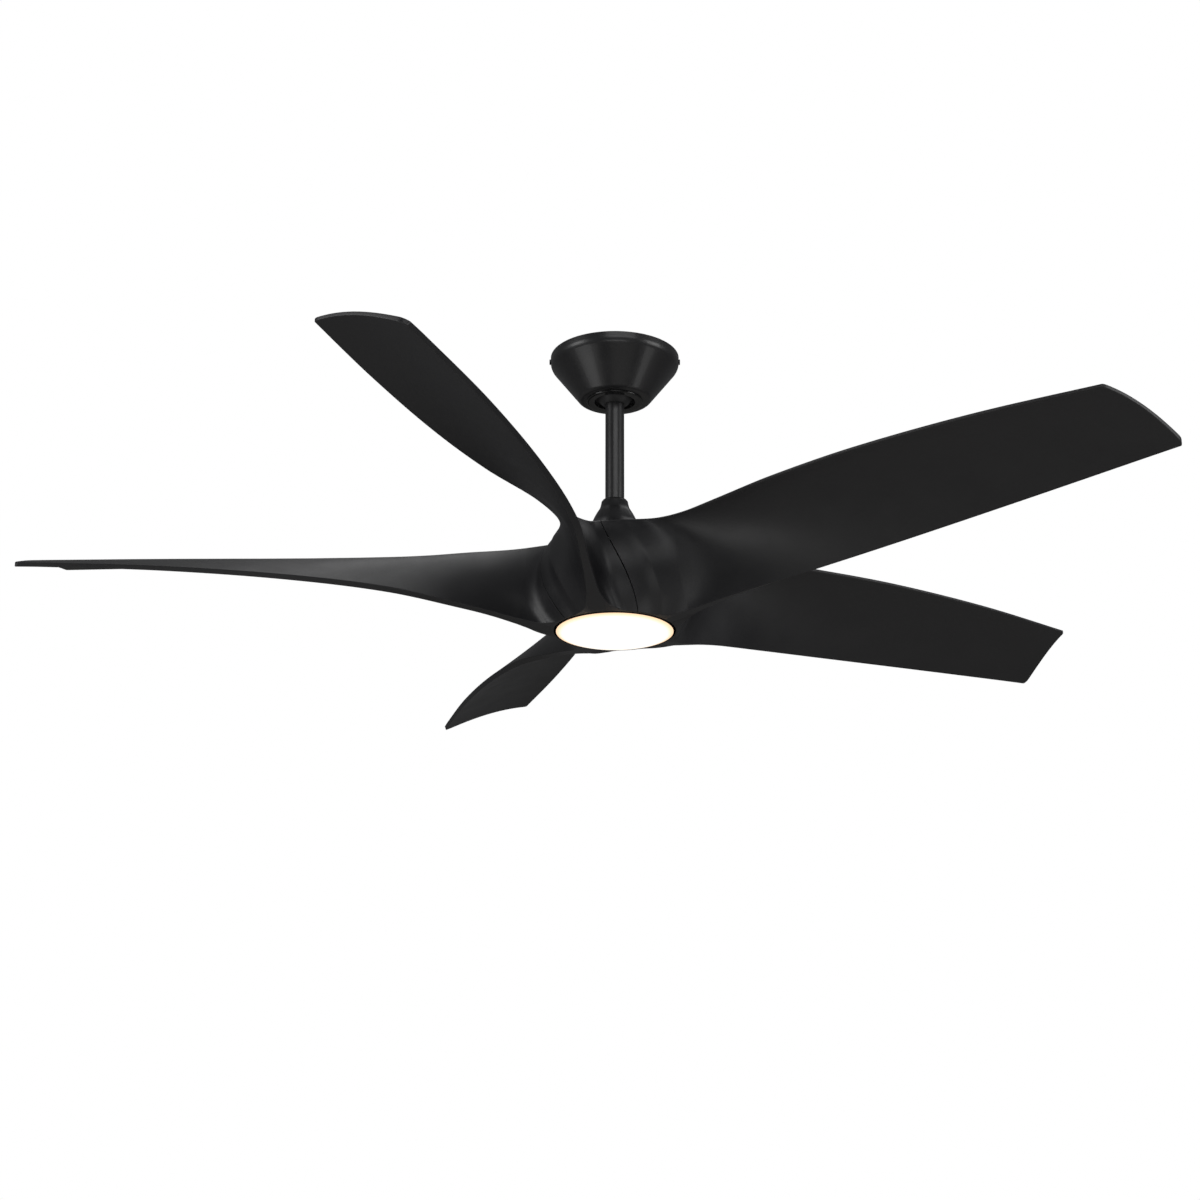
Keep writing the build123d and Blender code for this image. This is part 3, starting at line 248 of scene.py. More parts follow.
# %% Opal acrylic
def opal(name, edge_mm, rim_glow=10.0):
    """Lit opal material that turns from white to peach in the last rim_glow mm before its edge."""
    finish = empty_finish(name)
    place = add(finish, "ShaderNodeTexCoord", {})
    flat = add(finish, "ShaderNodeVectorMath", {0: (place, "Object"), 1: (1.0, 1.0, 0.0)}, operation="MULTIPLY")
    reach = add(finish, "ShaderNodeVectorMath", {0: (flat, "Vector")}, operation="LENGTH")
    edge = add(finish, "ShaderNodeMapRange", {"Value": (reach, "Value"), "From Min": (edge_mm - rim_glow) * MM,
                                              "From Max": edge_mm * MM}, interpolation_type="SMOOTHSTEP")
    cloud = add(finish, "ShaderNodeTexNoise", {"Vector": (place, "Object"), "Scale": 60.0, "Detail": 2.0})
    drift = add(finish, "ShaderNodeMath", {0: (cloud, "Fac"), 1: 0.05, 2: (edge, "Result")}, operation="MULTIPLY_ADD")
    glow = add(finish, "ShaderNodeMix", {0: (drift, "Value"), 6: linear("FFF6EC"), 7: linear("F8D2AC")},
               data_type="RGBA")
    fine = add(finish, "ShaderNodeTexNoise", {"Vector": (place, "Object"), "Scale": 900.0})
    gloss = add(finish, "ShaderNodeMapRange", {"Value": (fine, "Fac"), "To Min": 0.28, "To Max": 0.4})
    bump = add(finish, "ShaderNodeBump", {"Height": (fine, "Fac"), "Distance": 0.004 * MM})
    shader = add(finish, "ShaderNodeBsdfPrincipled", {
        "Base Color": (glow, 2), "Roughness": (gloss, "Result"), "Normal": (bump, "Normal"), "IOR": 1.49,
        "Emission Color": (glow, 2), "Emission Strength": 0.95})
    add(finish, "ShaderNodeOutputMaterial", {"Surface": (shader, "BSDF")})
    return finish


FINISHES["opal_acrylic"] = opal("acrylic_opal_lit", span("lens")[1].x)
print(len(FINISHES), "finishes")

# %% [markdown]
# Every part of the frame names its finish in the record. Parts that keep their CAD shape take it here, in
# every material slot, so nothing inside the housings is left plain.

# %% Finishes on the frame
SLOT_OF = {entry["node"]: entry["material_slot"] for entry in frame["record"]["subparts"]}
for name, part in frame["nodes"].items():
    for place in part.material_slots:
        place.material = FINISHES[SLOT_OF[name]]
print(len(frame["nodes"]), "parts have their finish")

# %% [markdown]
# Canopy, rod, cover and lens are all turned shapes: one outline, spun about the fan's axis. Blender's Screw
# modifier could spin a curve, but building the rings directly gives even quads and lets each corner have
# its own rounding. A corner is rounded with a short curve between the points one radius before and after
# it.

# %% Outlines and turned meshes
def rounded(corners):
    """Closed outline from (radius, z, rounding) corners, in mm."""
    points = []
    for i, (r, z, rounding) in enumerate(corners):
        here = np.array((r, z))
        if rounding == 0:
            points.append(here)
            continue
        before = np.array(corners[i - 1][:2]) - here
        after = np.array(corners[(i + 1) % len(corners)][:2]) - here
        start = here + before / np.linalg.norm(before) * rounding
        end = here + after / np.linalg.norm(after) * rounding
        for t in np.linspace(0, 1, 7):
            points.append((1 - t) ** 2 * start + 2 * t * (1 - t) * here + t ** 2 * end)
    return [tuple(p) for p in points]


def swept_curve(points, steps=6):
    """Smooth open line through (radius, z) points."""
    p = np.array([points[0]] + list(points) + [points[-1]], float)
    line = []
    for a, b, c, d in zip(p, p[1:], p[2:], p[3:]):
        for t in np.arange(steps) / steps:
            line.append(0.5 * (2 * b + (c - a) * t + (2 * a - 5 * b + 4 * c - d) * t ** 2
                               + (3 * b - a - 3 * c + d) * t ** 3))
    return [tuple(v) for v in line] + [tuple(points[-1])]


def finished(name, mesh, finish):
    """Object with smooth faces, flat where the mesh is flat."""
    for face in mesh.polygons:
        face.use_smooth = True
    piece = bpy.data.objects.new(name, mesh)
    bpy.context.scene.collection.objects.link(piece)
    mesh.materials.append(FINISHES[finish])
    even = piece.modifiers.new("even_shading", "WEIGHTED_NORMAL")
    even.keep_sharp = True
    return piece


def mesh_of(name, points, faces):
    """Mesh from points in mm."""
    mesh = bpy.data.meshes.new(name)
    mesh.from_pydata([tuple(v * MM for v in p) for p in points], [], faces)
    mesh.validate()
    return mesh


def turned(name, outline, finish, steps=180):
    """Spins a closed (radius, z) outline, given anticlockwise, about the fan's axis."""
    count = len(outline)
    points, faces = [], []
    for k in range(steps):
        a = 2 * math.pi * k / steps
        points += [(r * math.cos(a), r * math.sin(a), z) for r, z in outline]
    for k in range(steps):
        near, far = k * count, (k + 1) % steps * count
        for i in range(count):
            j = (i + 1) % count
            faces.append((near + i, far + i, far + j, near + j))
    mesh = mesh_of(name, points, faces)
    shell = bmesh.new()
    shell.from_mesh(mesh)
    bmesh.ops.remove_doubles(shell, verts=shell.verts, dist=0.002 * MM)
    bmesh.ops.recalc_face_normals(shell, faces=shell.faces)
    shell.to_mesh(mesh)
    shell.free()
    return finished(name, mesh, finish)


def stands_for(piece, body, slot, *nodes):
    """Ties a piece to its body, in place of the frame's nodes; slot is not used."""
    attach(piece, body)
    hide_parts(*nodes)
    print(piece.name, "rides on", body, "with", len(piece.data.polygons), "faces")


# %% [markdown]
# The canopy is one spun steel cup, 1.2 mm thick: a straight band under the ceiling, a cone, and a floor
# with a hole that the downrod swings in. The outline runs down its outside, in across the floor and back up
# the inside.

# %% Canopy
low, high = span("canopy")
canopy_r, floor_z, top_z = high.x, low.z, high.z
wall, floor_r, hole_r = 1.2, canopy_r - 39.6, canopy_r - 51.1
knee_z = top_z - 12.0
canopy_outline = rounded([
    (canopy_r - wall, top_z, 0.4), (canopy_r - wall, knee_z - 0.3, 6.5), (floor_r - 1.2, floor_z + wall, 4.0),
    (hole_r, floor_z + wall, 0.3), (hole_r, floor_z, 0.3), (floor_r, floor_z, 5.0), (canopy_r, knee_z, 5.0),
    (canopy_r, top_z, 0.4)])
canopy = turned("canopy_cup", canopy_outline, "black_paint", steps=240)
stands_for(canopy, "ceiling_mount", "black_paint", "canopy")

# %% [markdown]
# The trim ring clips into the canopy's hole from below. It is a polished lip with a rounded outer edge and
# a small inner bead, and a collar above it that stands inside the hole.

# %% Trim ring
low, high = span("canopy_trim_ring")
trim_r, trim_low, trim_top = high.x, low.z, high.z
bead_r = hole_r - 8.7
trim_outline = rounded([
    (bead_r, trim_low + 0.5, 0.7), (trim_r - 3.4, trim_low, 0.6), (trim_r, trim_low + 0.2, 1.8),
    (trim_r, floor_z - 0.02, 0.3), (hole_r - 0.2, floor_z - 0.02, 0), (hole_r - 0.2, trim_top, 0.4),
    (hole_r - 1.8, trim_top, 0.4), (hole_r - 1.8, floor_z + 0.4, 0.3), (bead_r, floor_z + 0.4, 0.7)])
trim = turned("trim_ring_lip", trim_outline, "gloss_black_trim", steps=200)
stands_for(trim, "ceiling_mount", "gloss_black_trim", "canopy_trim_ring")

# %% [markdown]
# The downrod is a 1 inch steel tube. Its ends are deburred, so they carry a small chamfer.

# %% Downrod
low, high = span("downrod")
rod_r, bore_r = high.x, high.x - 2.5
rod_outline = rounded([(bore_r, low.z, 0.3), (rod_r, low.z, 0.5), (rod_r, high.z, 0.5), (bore_r, high.z, 0.3)])
rod = turned("downrod_tube", rod_outline, "black_paint", steps=128)
stands_for(rod, "hanging_frame", "black_paint", "downrod")

# %% [markdown]
# The cover over the joint of rod and motor is a bell that slides on the rod. Its side is one smooth sweep,
# wide and flat at the hub and almost straight at the top, so a curve through a few measured radii describes
# it best. A rubber grommet in its neck grips the rod, with a lip a little wider than the bell's mouth.

# %% Coupling cover and grommet
low, high = span("coupling_cover")
cover_low = low.z
BELL = [(29.0, 0.0), (21.2, 12.0), (15.2, 21.0), (11.8, 28.5), (8.0, 36.0), (3.7, 43.5), (1.6, 52.5)]
outside = swept_curve([(rod_r + 3.3 + out, cover_low + rise) for out, rise in BELL])
inside = [(r - 1.8, z) for r, z in outside if z < high.z - 4.0]
neck = [(rod_r + 2.4, high.z - 4.0), (rod_r + 2.4, high.z)]
cover = turned("coupling_bell", outside[::-1] + inside + neck, "black_paint", steps=160)
stands_for(cover, "coupling_cover", "black_paint", "coupling_cover")

low, high = span("cover_grommet")
grommet_outline = rounded([
    (rod_r + 0.2, low.z, 0.2), (rod_r + 2.2, low.z, 0.2), (rod_r + 2.2, high.z - 2.0, 0.1),
    (high.x, high.z - 2.0, 0.5), (high.x, high.z, 0.8), (rod_r + 0.2, high.z, 0.5)])
grommet = turned("grommet_lip", grommet_outline, "black_rubber", steps=128)
stands_for(grommet, "coupling_cover", "black_rubber", "cover_grommet")

# %% [markdown]
# The lens is a shallow dome with a collar that reaches up into the housing, and three bayonet tabs on the
# collar that lock over ledges when it is twisted. Dome and collar are turned; each tab is a short arc of a
# ring.

# %% Lens
def arc_plate(inner_r, outer_r, z_low, z_high, start, end, steps=12):
    """Points and faces of part of a flat ring, between two angles in degrees."""
    points, faces = [], []
    for k in range(steps + 1):
        a = math.radians(start + (end - start) * k / steps)
        points += [(r * math.cos(a), r * math.sin(a), z)
                   for r, z in ((inner_r, z_low), (outer_r, z_low), (outer_r, z_high), (inner_r, z_high))]
    for k in range(steps):
        for i in range(4):
            j = (i + 1) % 4
            faces.append((4 * k + i, 4 * k + j, 4 * k + 4 + j, 4 * k + 4 + i))
    return points, [(3, 2, 1, 0)] + faces + [tuple(4 * steps + i for i in range(4))]


def joined(name, mesh, parts):
    """Adds (points, faces) parts to a mesh, as separate islands."""
    shell = bmesh.new()
    shell.from_mesh(mesh)
    for points, faces in parts:
        corners = [shell.verts.new([v * MM for v in p]) for p in points]
        for face in faces:
            shell.faces.new([corners[i] for i in face]).smooth = True
    bmesh.ops.recalc_face_normals(shell, faces=shell.faces)
    shell.to_mesh(mesh)
    shell.free()
    print(name, "has", len(parts), "added parts")


low, high = span("lens")
lens_r, collar_r = high.x, high.x - 4.4


def dome(radius, height, steps=24):
    """Arc from the axis out to the rim, its lowest point height below the rim."""
    arc_r = (radius ** 2 + height ** 2) / (2 * height)
    sweep = math.asin(radius / arc_r)
    return [(arc_r * math.sin(sweep * k / steps), RIM_Z - height + arc_r * (1 - math.cos(sweep * k / steps)))
            for k in range(steps + 1)]


lens_outline = dome(lens_r, LENS_DEPTH) + [(lens_r, RIM_Z + 0.2), (collar_r, RIM_Z + 0.2), (collar_r, high.z),
                                      (collar_r - 2.0, high.z)] + dome(collar_r - 2.0, LENS_DEPTH - 2.0)[::-1]
lens = turned("opal_lens", lens_outline, "opal_acrylic", steps=200)
tabs = [arc_plate(collar_r - 0.5, lens_r - 2.4, RIM_Z + 7.3, RIM_Z + 9.3, middle - 15, middle + 15)
        for middle in (30, 150, 270)]
joined("opal_lens", lens.data, tabs)
stands_for(lens, "lens", "opal_acrylic", "lens")

# %% [markdown]
# A blade is the hardest shape of the fan. Near the hub its section stands almost upright, 124 mm tall, with
# the leading edge on top; towards the tip it turns nearly flat. Ten sections along it are enough to
# describe that, as long as everything between them lies on smooth curves. The trailing edge is a band, 6 mm
# wide at the tip and widening into the hub's lower rim; the leading edge is a 4.4 mm nose. The table gives,
# for each section: how far out it lies from root (0) to tip (1), the leading edge's y and height, the
# trailing edge's y and height, the camber and the band's width. Heights are above the light's rim.

# %% Blade sections
BLADE_TABLE = np.array([
    (-0.044, -43.0, 126.0, 6.0, 1.0, 6.0, 40.0),
    (0.0, -40.0, 126.0, 8.5, 4.0, 9.0, 26.0),
    (0.044, -39.5, 126.0, 14.0, 11.0, 12.0, 17.0),
    (0.088, -42.0, 126.5, 20.5, 18.5, 13.5, 13.0),
    (0.139, -47.5, 127.0, 28.0, 25.5, 14.0, 10.5),
    (0.28, -69.0, 127.0, 48.0, 42.5, 13.0, 9.0),
    (0.467, -85.0, 127.5, 56.0, 57.0, 11.0, 7.5),
    (0.703, -91.0, 126.0, 53.5, 70.5, 9.0, 6.5),
    (0.939, -87.0, 121.5, 42.0, 80.5, 7.0, 6.0),
    (1.03, -84.0, 119.5, 36.0, 83.5, 6.0, 6.0)])
ROOT_R, TIP_R = 100.0, 789.0
NOSE_HALF = 2.2


def section(x):
    """Table values at distances x from the axis, on a cubic curve through each column."""
    reach = (np.asarray(x, float) - ROOT_R) / (TIP_R - ROOT_R)
    at, last = BLADE_TABLE[:, 0], len(BLADE_TABLE) - 1
    before, after = np.maximum(np.arange(last + 1) - 1, 0), np.minimum(np.arange(last + 1) + 1, last)
    slope = (BLADE_TABLE[after, 1:] - BLADE_TABLE[before, 1:]) / (at[after] - at[before])[:, None]
    i = np.clip(np.searchsorted(at, reach, side="right") - 1, 0, last - 1)
    gap = (at[i + 1] - at[i])[..., None]
    t = ((reach - at[i]) / gap[..., 0])[..., None]
    start, end = BLADE_TABLE[i, 1:], BLADE_TABLE[i + 1, 1:]
    values = ((2 * t ** 3 - 3 * t ** 2 + 1) * start + (t ** 3 - 2 * t ** 2 + t) * gap * slope[i]
              + (3 * t ** 2 - 2 * t ** 3) * end + (t ** 3 - t ** 2) * gap * slope[i + 1])
    return np.moveaxis(values, -1, 0)


def wall_point(x, share, side):
    """y and height of a blade's wall; share is 0 at the trailing edge and 1 at the leading edge."""
    lead_y, lead_z, trail_y, trail_z, camber, band = section(x)
    dy, dz = lead_y - trail_y, lead_z - trail_z
    chord = np.hypot(dy, dz)
    across_y, across_z = dz / chord, -dy / chord
    rise = camber * 4 * share * (1 - share) * (0.75 + 0.5 * share)
    slope = camber * (4 * (1 - 2 * share) * (0.75 + 0.5 * share) + 2 * share * (1 - share))
    along_y, along_z = dy + slope * across_y, dz + slope * across_z
    length = np.hypot(along_y, along_z)
    half = side * (NOSE_HALF + (band / 2 - NOSE_HALF) * (1 - share) ** 2.2)
    y = trail_y + share * dy + rise * across_y + half * along_z / length
    z = trail_z + share * dz + rise * across_z - half * along_y / length
    return y, z


print("section at mid blade:", [round(float(v), 1) for v in section(440.0)])

# %% [markdown]
# The five roots together make the motor's housing: a barrel with a bulging side and a rounded shoulder,
# split by five leaning seams. Each blade flows into its share of the barrel with no edge, in a fillet of
# about 34 mm. On the suction side the fillet opens like a fan towards the top, to more than 100 mm. A
# boolean and a bevel can't make a fillet that large between curved walls. A smooth minimum can: where the
# blade's wall and the barrel are nearer to each other than the fillet's size, the skin lies outside both,
# and elsewhere it is simply the outer one. A cubic blend starts gently, so no ridge shows where it begins.
# Each point of the skin is found by halving an interval until it lies on the blend. Towards a seam the
# fillet fades out over 20 degrees.

# %% Barrel, seams and the blended skin
HUB_LOW, HUB_TOP, DECK_R, HUB_WALL = 1.0, 127.0, 78.2, 3.0
SEAM_START, SEAM_TWIST, PITCH = -32.3, -0.272, 72.0
SEAM_INSET = math.degrees(0.55 / 103.5)
ROOT_FILLET, FAN_FILLET, FAN_POWER = 34.0, 80.0, 1.5
BELLY_FILLET, BELLY_POWER, SEAM_FADE = 30.0, 0.8, 20.0


def barrel_r(height):
    """Outer radius of the barrel, with its shoulder drawn in above 103 mm."""
    side = 103.5 - 107.0 + np.sqrt(107.0 ** 2 - (height - 64.0) ** 2)
    return side - 2.4 * (np.maximum(height - 103, 0) / 22) ** 2.2


def seam_angle(height, side):
    """Angle of a blade's own edge at its first seam (side -1) or its second (side 1), in degrees."""
    return SEAM_START + SEAM_TWIST * height + (PITCH - SEAM_INSET if side > 0 else SEAM_INSET)


def fillet_size(share, side):
    """How far from the crease the blade starts to turn into the barrel."""
    if side > 0:
        return ROOT_FILLET + FAN_FILLET * share ** FAN_POWER
    return ROOT_FILLET + BELLY_FILLET * math.sin(math.pi * share ** BELLY_POWER)


def skin_point(x, share, side):
    """y and height of the outer skin at distances x from the axis."""
    wall_y, wall_z = wall_point(x, share, side)
    rim_z = HUB_LOW + share * (HUB_TOP - 1.0 - HUB_LOW)
    height, fillet = wall_z, fillet_size(share, side)
    for _ in range(3):
        level = np.clip(height, 0, HUB_TOP)
        radius = barrel_r(level)
        inner, outer = wall_y.copy(), np.full_like(wall_y, side * 160.0)
        for _ in range(30):
            y = (inner + outer) / 2
            away = side * (seam_angle(level, side) - np.degrees(np.arctan2(y, x)))
            near = np.clip(away / SEAM_FADE, 0, 1)
            size = np.maximum(4.0, 1.5 * fillet * near)
            barrel, blade = np.hypot(x, y) - radius, side * (y - wall_y)
            blend = np.maximum(size - np.abs(barrel - blade), 0) / size
            inside = np.minimum(barrel, blade) - blend ** 3 * size / 6 <= 0
            inner, outer = np.where(inside, y, inner), np.where(inside, outer, y)
        out = np.clip((np.hypot(x, y) - radius) / 30.0, 0, 1)
        height = rim_z + (wall_z - rim_z) * out ** 2 * (3 - 2 * out)
    return y, height


print("barrel at the rim, middle and top:", [round(float(barrel_r(h)), 1) for h in (HUB_LOW, 64.0, 126.0)])

# %% [markdown]
# The tip is cut on a slant: the leading corner lies 42 mm behind the trailing corner, and both corners are
# rounded, 14 mm in front and 10 mm behind. The outline is built in plan, and each row of the mesh ends
# where it meets it.

# %% Tip outline
def corner_points(before, corner, after, radius, steps=8):
    """Arc of a radius between two straight lines that meet at a corner."""
    before, corner, after = (np.array(p, float) for p in (before, corner, after))
    u, v = (before - corner) / np.linalg.norm(before - corner), (after - corner) / np.linalg.norm(after - corner)
    half = math.acos(float(u @ v)) / 2
    centre = corner + (u + v) / np.linalg.norm(u + v) * radius / math.sin(half)
    start, end = corner + u * radius / math.tan(half) - centre, corner + v * radius / math.tan(half) - centre
    turn = math.pi - 2 * half
    return [centre + (math.sin((1 - t) * turn) * start + math.sin(t * turn) * end) / math.sin(turn)
            for t in np.linspace(0, 1, steps)]


lead, trail = (TIP_R - 42.0, -89.2), (TIP_R, 39.9)
bulge = np.array([((1 - t) * lead[0] + t * trail[0] + 3.0 * 4 * t * (1 - t), (1 - t) * lead[1] + t * trail[1])
                  for t in np.linspace(0.12, 0.9, 12)])
tip_line = np.array(corner_points((TIP_R - 87.0, -93.0), lead, bulge[0], 14.0) + list(bulge[1:-1])
                    + corner_points(bulge[-1], trail, (TIP_R - 87.0, 49.0), 10.0))


def tip_x(share, side):
    """Where a row of the blade meets the tip's outline, as far out as the outline lets it go."""
    order = np.argsort(tip_line[:, 1])
    x = np.full_like(share, TIP_R - 20.0)
    for _ in range(4):
        y, _ = wall_point(x, share, side)
        x = np.interp(y, tip_line[order, 1], tip_line[order, 0])
    return x - 0.3


print("tip line from", tip_line[0].round(1), "to", tip_line[-1].round(1))

# %% [markdown]
# Each blade's mesh is two sheets of quads, pressure side and suction side. A sheet's rows follow the blade
# from seam to tip. Inside 118 mm the points are spaced evenly along the row as it sweeps round the barrel;
# outside they sit at fixed shares of the way to the tip. Then the gaps are closed: the band below, the nose
# above, the tip, the deck and the rim around the hub, the inner face of the shell, and the seams. A bevel
# rounds the edges afterwards, with its own weight for each: 2 mm on the nose, 0.8 mm on the band and the
# tip, and a fine 0.4 mm where two roots meet at a seam, so that each seam reads as a thin dark line.

# %% Rows and columns of the sheets
SHARES = np.array([0, .013, .027, .044, .064, .09, .125, .17, .22, .28, .34, .4, .46, .52, .58, .64, .7, .76,
                   .81, .855, .89, .918, .941, .961, .98, 1.0])
JOIN_X = 118.0
ROOT_COLUMNS, WING_COLUMNS = 44, 84


def root_part(share, side):
    """Evenly spaced points of one row, from its seam out to JOIN_X."""
    height = HUB_LOW + share * (HUB_TOP - 1.0 - HUB_LOW)
    angle = math.radians(seam_angle(height, side))
    start_x, start_y = barrel_r(height) * math.cos(angle), barrel_r(height) * math.sin(angle)
    x = np.linspace(start_x, JOIN_X, 420)
    y, z = skin_point(x, share, side)
    y[0], z[0] = start_y, height
    line = np.stack([x, y, z], 1)
    length = np.concatenate([[0], np.cumsum(np.linalg.norm(np.diff(line, axis=0), axis=1))])
    even = np.linspace(0, length[-1], ROOT_COLUMNS + 1)
    return np.stack([np.interp(even, length, line[:, k]) for k in range(3)], 1)


def wing_part(share, side):
    """Points of one row from JOIN_X to the tip, closer together near the tip."""
    steps = np.linspace(0, 1, WING_COLUMNS + 1)[1:]
    reach = 1 - (1 - steps) ** 1.25
    x = JOIN_X + (tip_x(np.array([share]), side)[0] - JOIN_X) * reach
    y, z = skin_point(x, share, side)
    return np.stack([x, y, z], 1)


def sheet(side):
    """Grid of points of one whole side of the blade."""
    return np.array([np.vstack([root_part(share, side), wing_part(share, side)]) for share in SHARES])


pressure, suction = sheet(-1), sheet(1)
print("each sheet is", pressure.shape[0], "rows by", pressure.shape[1], "columns")

# %% [markdown]
# Around the hub, the deck and the rim are filled with spokes: from every point of the sheet's edge a line
# runs straight in towards the axis, as far as the opening. The edge passes each angle once, so the spokes
# never cross.

# %% Closing the blade
def closed_blade(pressure, suction):
    """Points and faces of a whole blade, its nose points, and the points of its seams, deck and rim."""
    points, faces = [], []

    def place(grid):
        start = len(points)
        points.extend(map(tuple, grid.reshape(-1, 3)))
        return np.arange(start, len(points)).reshape(grid.shape[:-1])

    def quads(ids, flip):
        for a, b in zip(ids, ids[1:]):
            for i in range(len(a) - 1):
                face = (a[i], a[i + 1], b[i + 1], b[i])
                faces.append(face[::-1] if flip else face)

    p, s = place(pressure), place(suction)
    quads(p, False)
    quads(s, True)
    join = ROOT_COLUMNS
    quads([p[0, join:], s[0, join:]], True)
    quads([p[-1, join:], s[-1, join:]], False)
    quads([p[:, -1], s[:, -1]], False)

    def spokes(row, opening_r, opening_z):
        """Joins one edge of both sheets to an opening round the axis."""
        edge = np.concatenate([p[row, :join + 1], s[row, :join + 1][::-1]])
        outer = np.array([points[i] for i in edge])
        angle = np.arctan2(outer[:, 1], outer[:, 0])
        level = np.full(len(edge), opening_z)
        ring = place(np.stack([opening_r * np.cos(angle), opening_r * np.sin(angle), level], 1))
        quads([edge, ring], row != 0)
        return ring, angle

    deck, deck_angle = spokes(-1, DECK_R, HUB_TOP)
    rim, rim_angle = spokes(0, float(barrel_r(HUB_LOW)) - HUB_WALL, HUB_LOW)

    across = np.linspace(0, 1, len(rim_angle))
    inner = [rim]
    for row in range(1, len(pressure) - 1):
        height = pressure[row, 0, 2] + (suction[row, 0, 2] - pressure[row, 0, 2]) * across
        t = (height - HUB_LOW) / (HUB_TOP - HUB_LOW)
        angle = rim_angle + (deck_angle - rim_angle) * t
        radius = np.maximum(barrel_r(height) - HUB_WALL, DECK_R)
        inner.append(place(np.stack([radius * np.cos(angle), radius * np.sin(angle), height], 1)))
    inner.append(deck)
    quads(inner, True)
    quads([p[:, 0], [row[0] for row in inner]], True)
    quads([s[:, 0], [row[-1] for row in inner]], False)
    return points, faces, set(p[-1]) | set(s[-1]), set(p[:, 0]) | set(s[:, 0]) | set(deck) | set(rim)


points, faces, nose, fine_edges = closed_blade(pressure, suction)
print("blade before its bevel:", len(points), "points,", len(faces), "faces")

# %% [markdown]
# Each edge's bevel weight says what share of the 2 mm it gets. Only edges that bend by more than 35 degrees
# are marked, so the long smooth sheets stay as they are.

# %% Rounding the blade's edges
def bevelled(mesh):
    """Rounds a mesh's marked edges with a weighted bevel and returns the new mesh."""
    shell = bmesh.new()
    shell.from_mesh(mesh)
    bmesh.ops.recalc_face_normals(shell, faces=shell.faces)
    weight = shell.edges.layers.float.new("bevel_weight_edge")
    for edge in shell.edges:
        if edge.calc_face_angle(0) < math.radians(35):
            continue
        ends = {v.index for v in edge.verts}
        edge[weight] = 1.0 if ends <= nose else 0.2 if ends <= fine_edges else 0.4
    open_edges = sum(1 for edge in shell.edges if len(edge.link_faces) != 2)
    print("edges that don't join two faces:", open_edges)
    shell.to_mesh(mesh)
    shell.free()
    mould = bpy.data.objects.new("blade_mould", mesh)
    bpy.context.scene.collection.objects.link(mould)
    rounding = mould.modifiers.new("edge_rounding", "BEVEL")
    rounding.limit_method = "WEIGHT"
    rounding.width = 2.0 * MM
    rounding.segments = 4
    rounding.use_clamp_overlap = False
    smooth = bpy.data.meshes.new_from_object(mould.evaluated_get(bpy.context.evaluated_depsgraph_get()))
    bpy.data.objects.remove(mould)
    return smooth


blade_mesh = bevelled(mesh_of("blade_sheets", points, faces))
blade_mesh.name = "blade_moulding"
SHELF_Z = 100.0
shelf = arc_plate(80.0, float(barrel_r(SHELF_Z)) - 2.0, SHELF_Z - 2.5, SHELF_Z + 3.5, seam_angle(SHELF_Z, -1),
                  seam_angle(SHELF_Z, 1), 24)
joined("blade_moulding", blade_mesh, [shelf])
print("finished blade:", len(blade_mesh.polygons), "faces")

# %% [markdown]
# All five blades come from one tool, so each is a copy of the same mesh, turned to its place about the
# axis. The turn goes into the mesh itself, so the object's own box fits the blade closely.

# %% Five blades
FIRST_BLADE_ANGLE = 35.5
for number in range(5):
    copy = blade_mesh.copy()
    turn = Matrix.Rotation(math.radians(FIRST_BLADE_ANGLE + PITCH * number), 4, "Z")
    copy.transform(Matrix.Translation((0, 0, RIM_Z * MM)) @ turn)
    blade = finished(f"moulded_blade_{number + 1}", copy, "blade_plastic")
    stands_for(blade, "rotor", "blade_plastic", f"blade_{number + 1}")

# %% [markdown]
# The stage: a pale plaster floor far below, a white surround that the camera sees as pure white but that
# lights the fan only dimly, and large soft lamps. Black satin shows its shape only by what it reflects, so
# the lamps' size and place matter more than their power. The wide ones left and right draw the rod's twin
# lines, a long strip high in front lights the hub's curve and the canopy's upper band, and three low ones
# reach the cone and the blades' undersides.

# %% Floor
FLOOR_Z, FLOOR_HALF = -2.6, 9.0
floor_finish = grained("plaster_floor_pale", "D4D2CE", "E2E0DC", grain=6.0, height=0.2, rough=0.8, specular=0.2)
floor_mesh = bpy.data.meshes.new("floor")
floor_corners = [(x * FLOOR_HALF, y * FLOOR_HALF, FLOOR_Z) for x, y in ((-1, -1), (1, -1), (1, 1), (-1, 1))]
floor_mesh.from_pydata(floor_corners, [], [(0, 1, 2, 3)])
floor_mesh.materials.append(floor_finish)
floor = bpy.data.objects.new("floor", floor_mesh)
bpy.context.scene.collection.objects.link(floor)
print("floor is", -FLOOR_Z, "m below the ceiling")

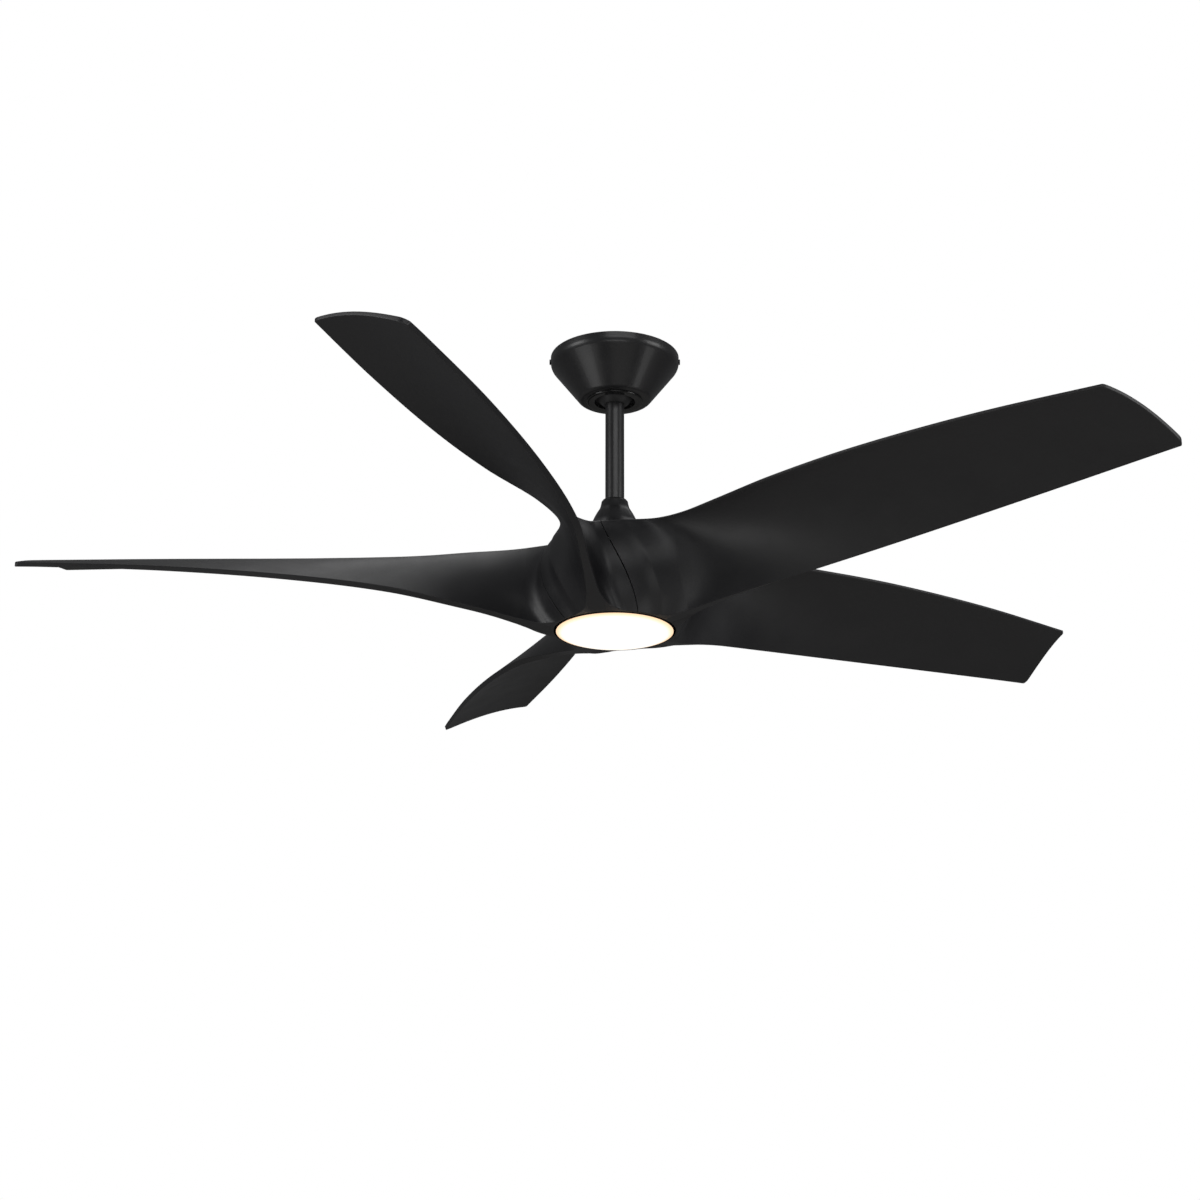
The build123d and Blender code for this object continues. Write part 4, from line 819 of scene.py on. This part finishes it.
# %% Surround
world = bpy.data.worlds.new("surround")
bpy.context.scene.world = world
world.use_nodes = True
world.node_tree.nodes.clear()
seen = add(world, "ShaderNodeLightPath", {})
dim = add(world, "ShaderNodeBackground", {"Color": linear("F2F3F5"), "Strength": 0.13})
bright = add(world, "ShaderNodeBackground", {"Color": (1, 1, 1, 1), "Strength": 1.0})
both = add(world, "ShaderNodeMixShader", {0: (seen, "Is Camera Ray"), 1: (dim, "Background"),
                                          2: (bright, "Background")})
add(world, "ShaderNodeOutputWorld", {"Surface": (both, "Shader")})


# %% Lamps
def lamp(name, place, aim, width, height, power):
    """Rectangular soft lamp that faces a point; sizes and places in metres."""
    light = bpy.data.lights.new(name, "AREA")
    light.shape = "RECTANGLE"
    light.size, light.size_y, light.energy = width, height, power
    body = bpy.data.objects.new(name, light)
    bpy.context.scene.collection.objects.link(body)
    body.location = place
    body.rotation_euler = (Vector(aim) - Vector(place)).to_track_quat("-Z", "Y").to_euler()
    body.visible_camera = False
    print(name, "at", place)


HUB = (0, 0, -0.33)
lamp("lamp_left", (-3.2, -1.4, 0.2), HUB, 1.6, 1.6, 30)
lamp("lamp_right", (3.2, -1.2, 0.2), HUB, 1.6, 1.6, 28)
lamp("lamp_above", (0.2, 0.9, 2.2), HUB, 2.4, 2.4, 14)
lamp("lamp_high_front", (0.6, -3.4, 1.3), HUB, 3.2, 1.0, 22)
lamp("lamp_low_front", (0.2, -3.4, -1.5), HUB, 2.4, 0.5, 10)
lamp("lamp_low_left", (-2.0, -0.8, -2.3), HUB, 1.4, 1.4, 9)
lamp("lamp_low_right", (2.0, -0.8, -2.3), HUB, 1.4, 1.4, 9)

# %% [markdown]
# The camera stands 1.4 m below the ceiling and 3 m in front, and looks up at the fan by 19 degrees, through
# a lens of 73 mm on a 36 mm sensor.

# %% Camera
view = bpy.data.cameras.new("camera")
view.lens, view.sensor_width = 72.9, 36.0
view.shift_x, view.shift_y = -0.0123, 0.0007
view.clip_end = 60.0
camera = bpy.data.objects.new("camera", view)
camera.location = (0, -3.018, -1.401)
camera.rotation_euler = (math.radians(109.2), 0, 0)
bpy.context.scene.collection.objects.link(camera)
bpy.context.scene.camera = camera
bpy.context.scene.view_settings.view_transform = "Standard"
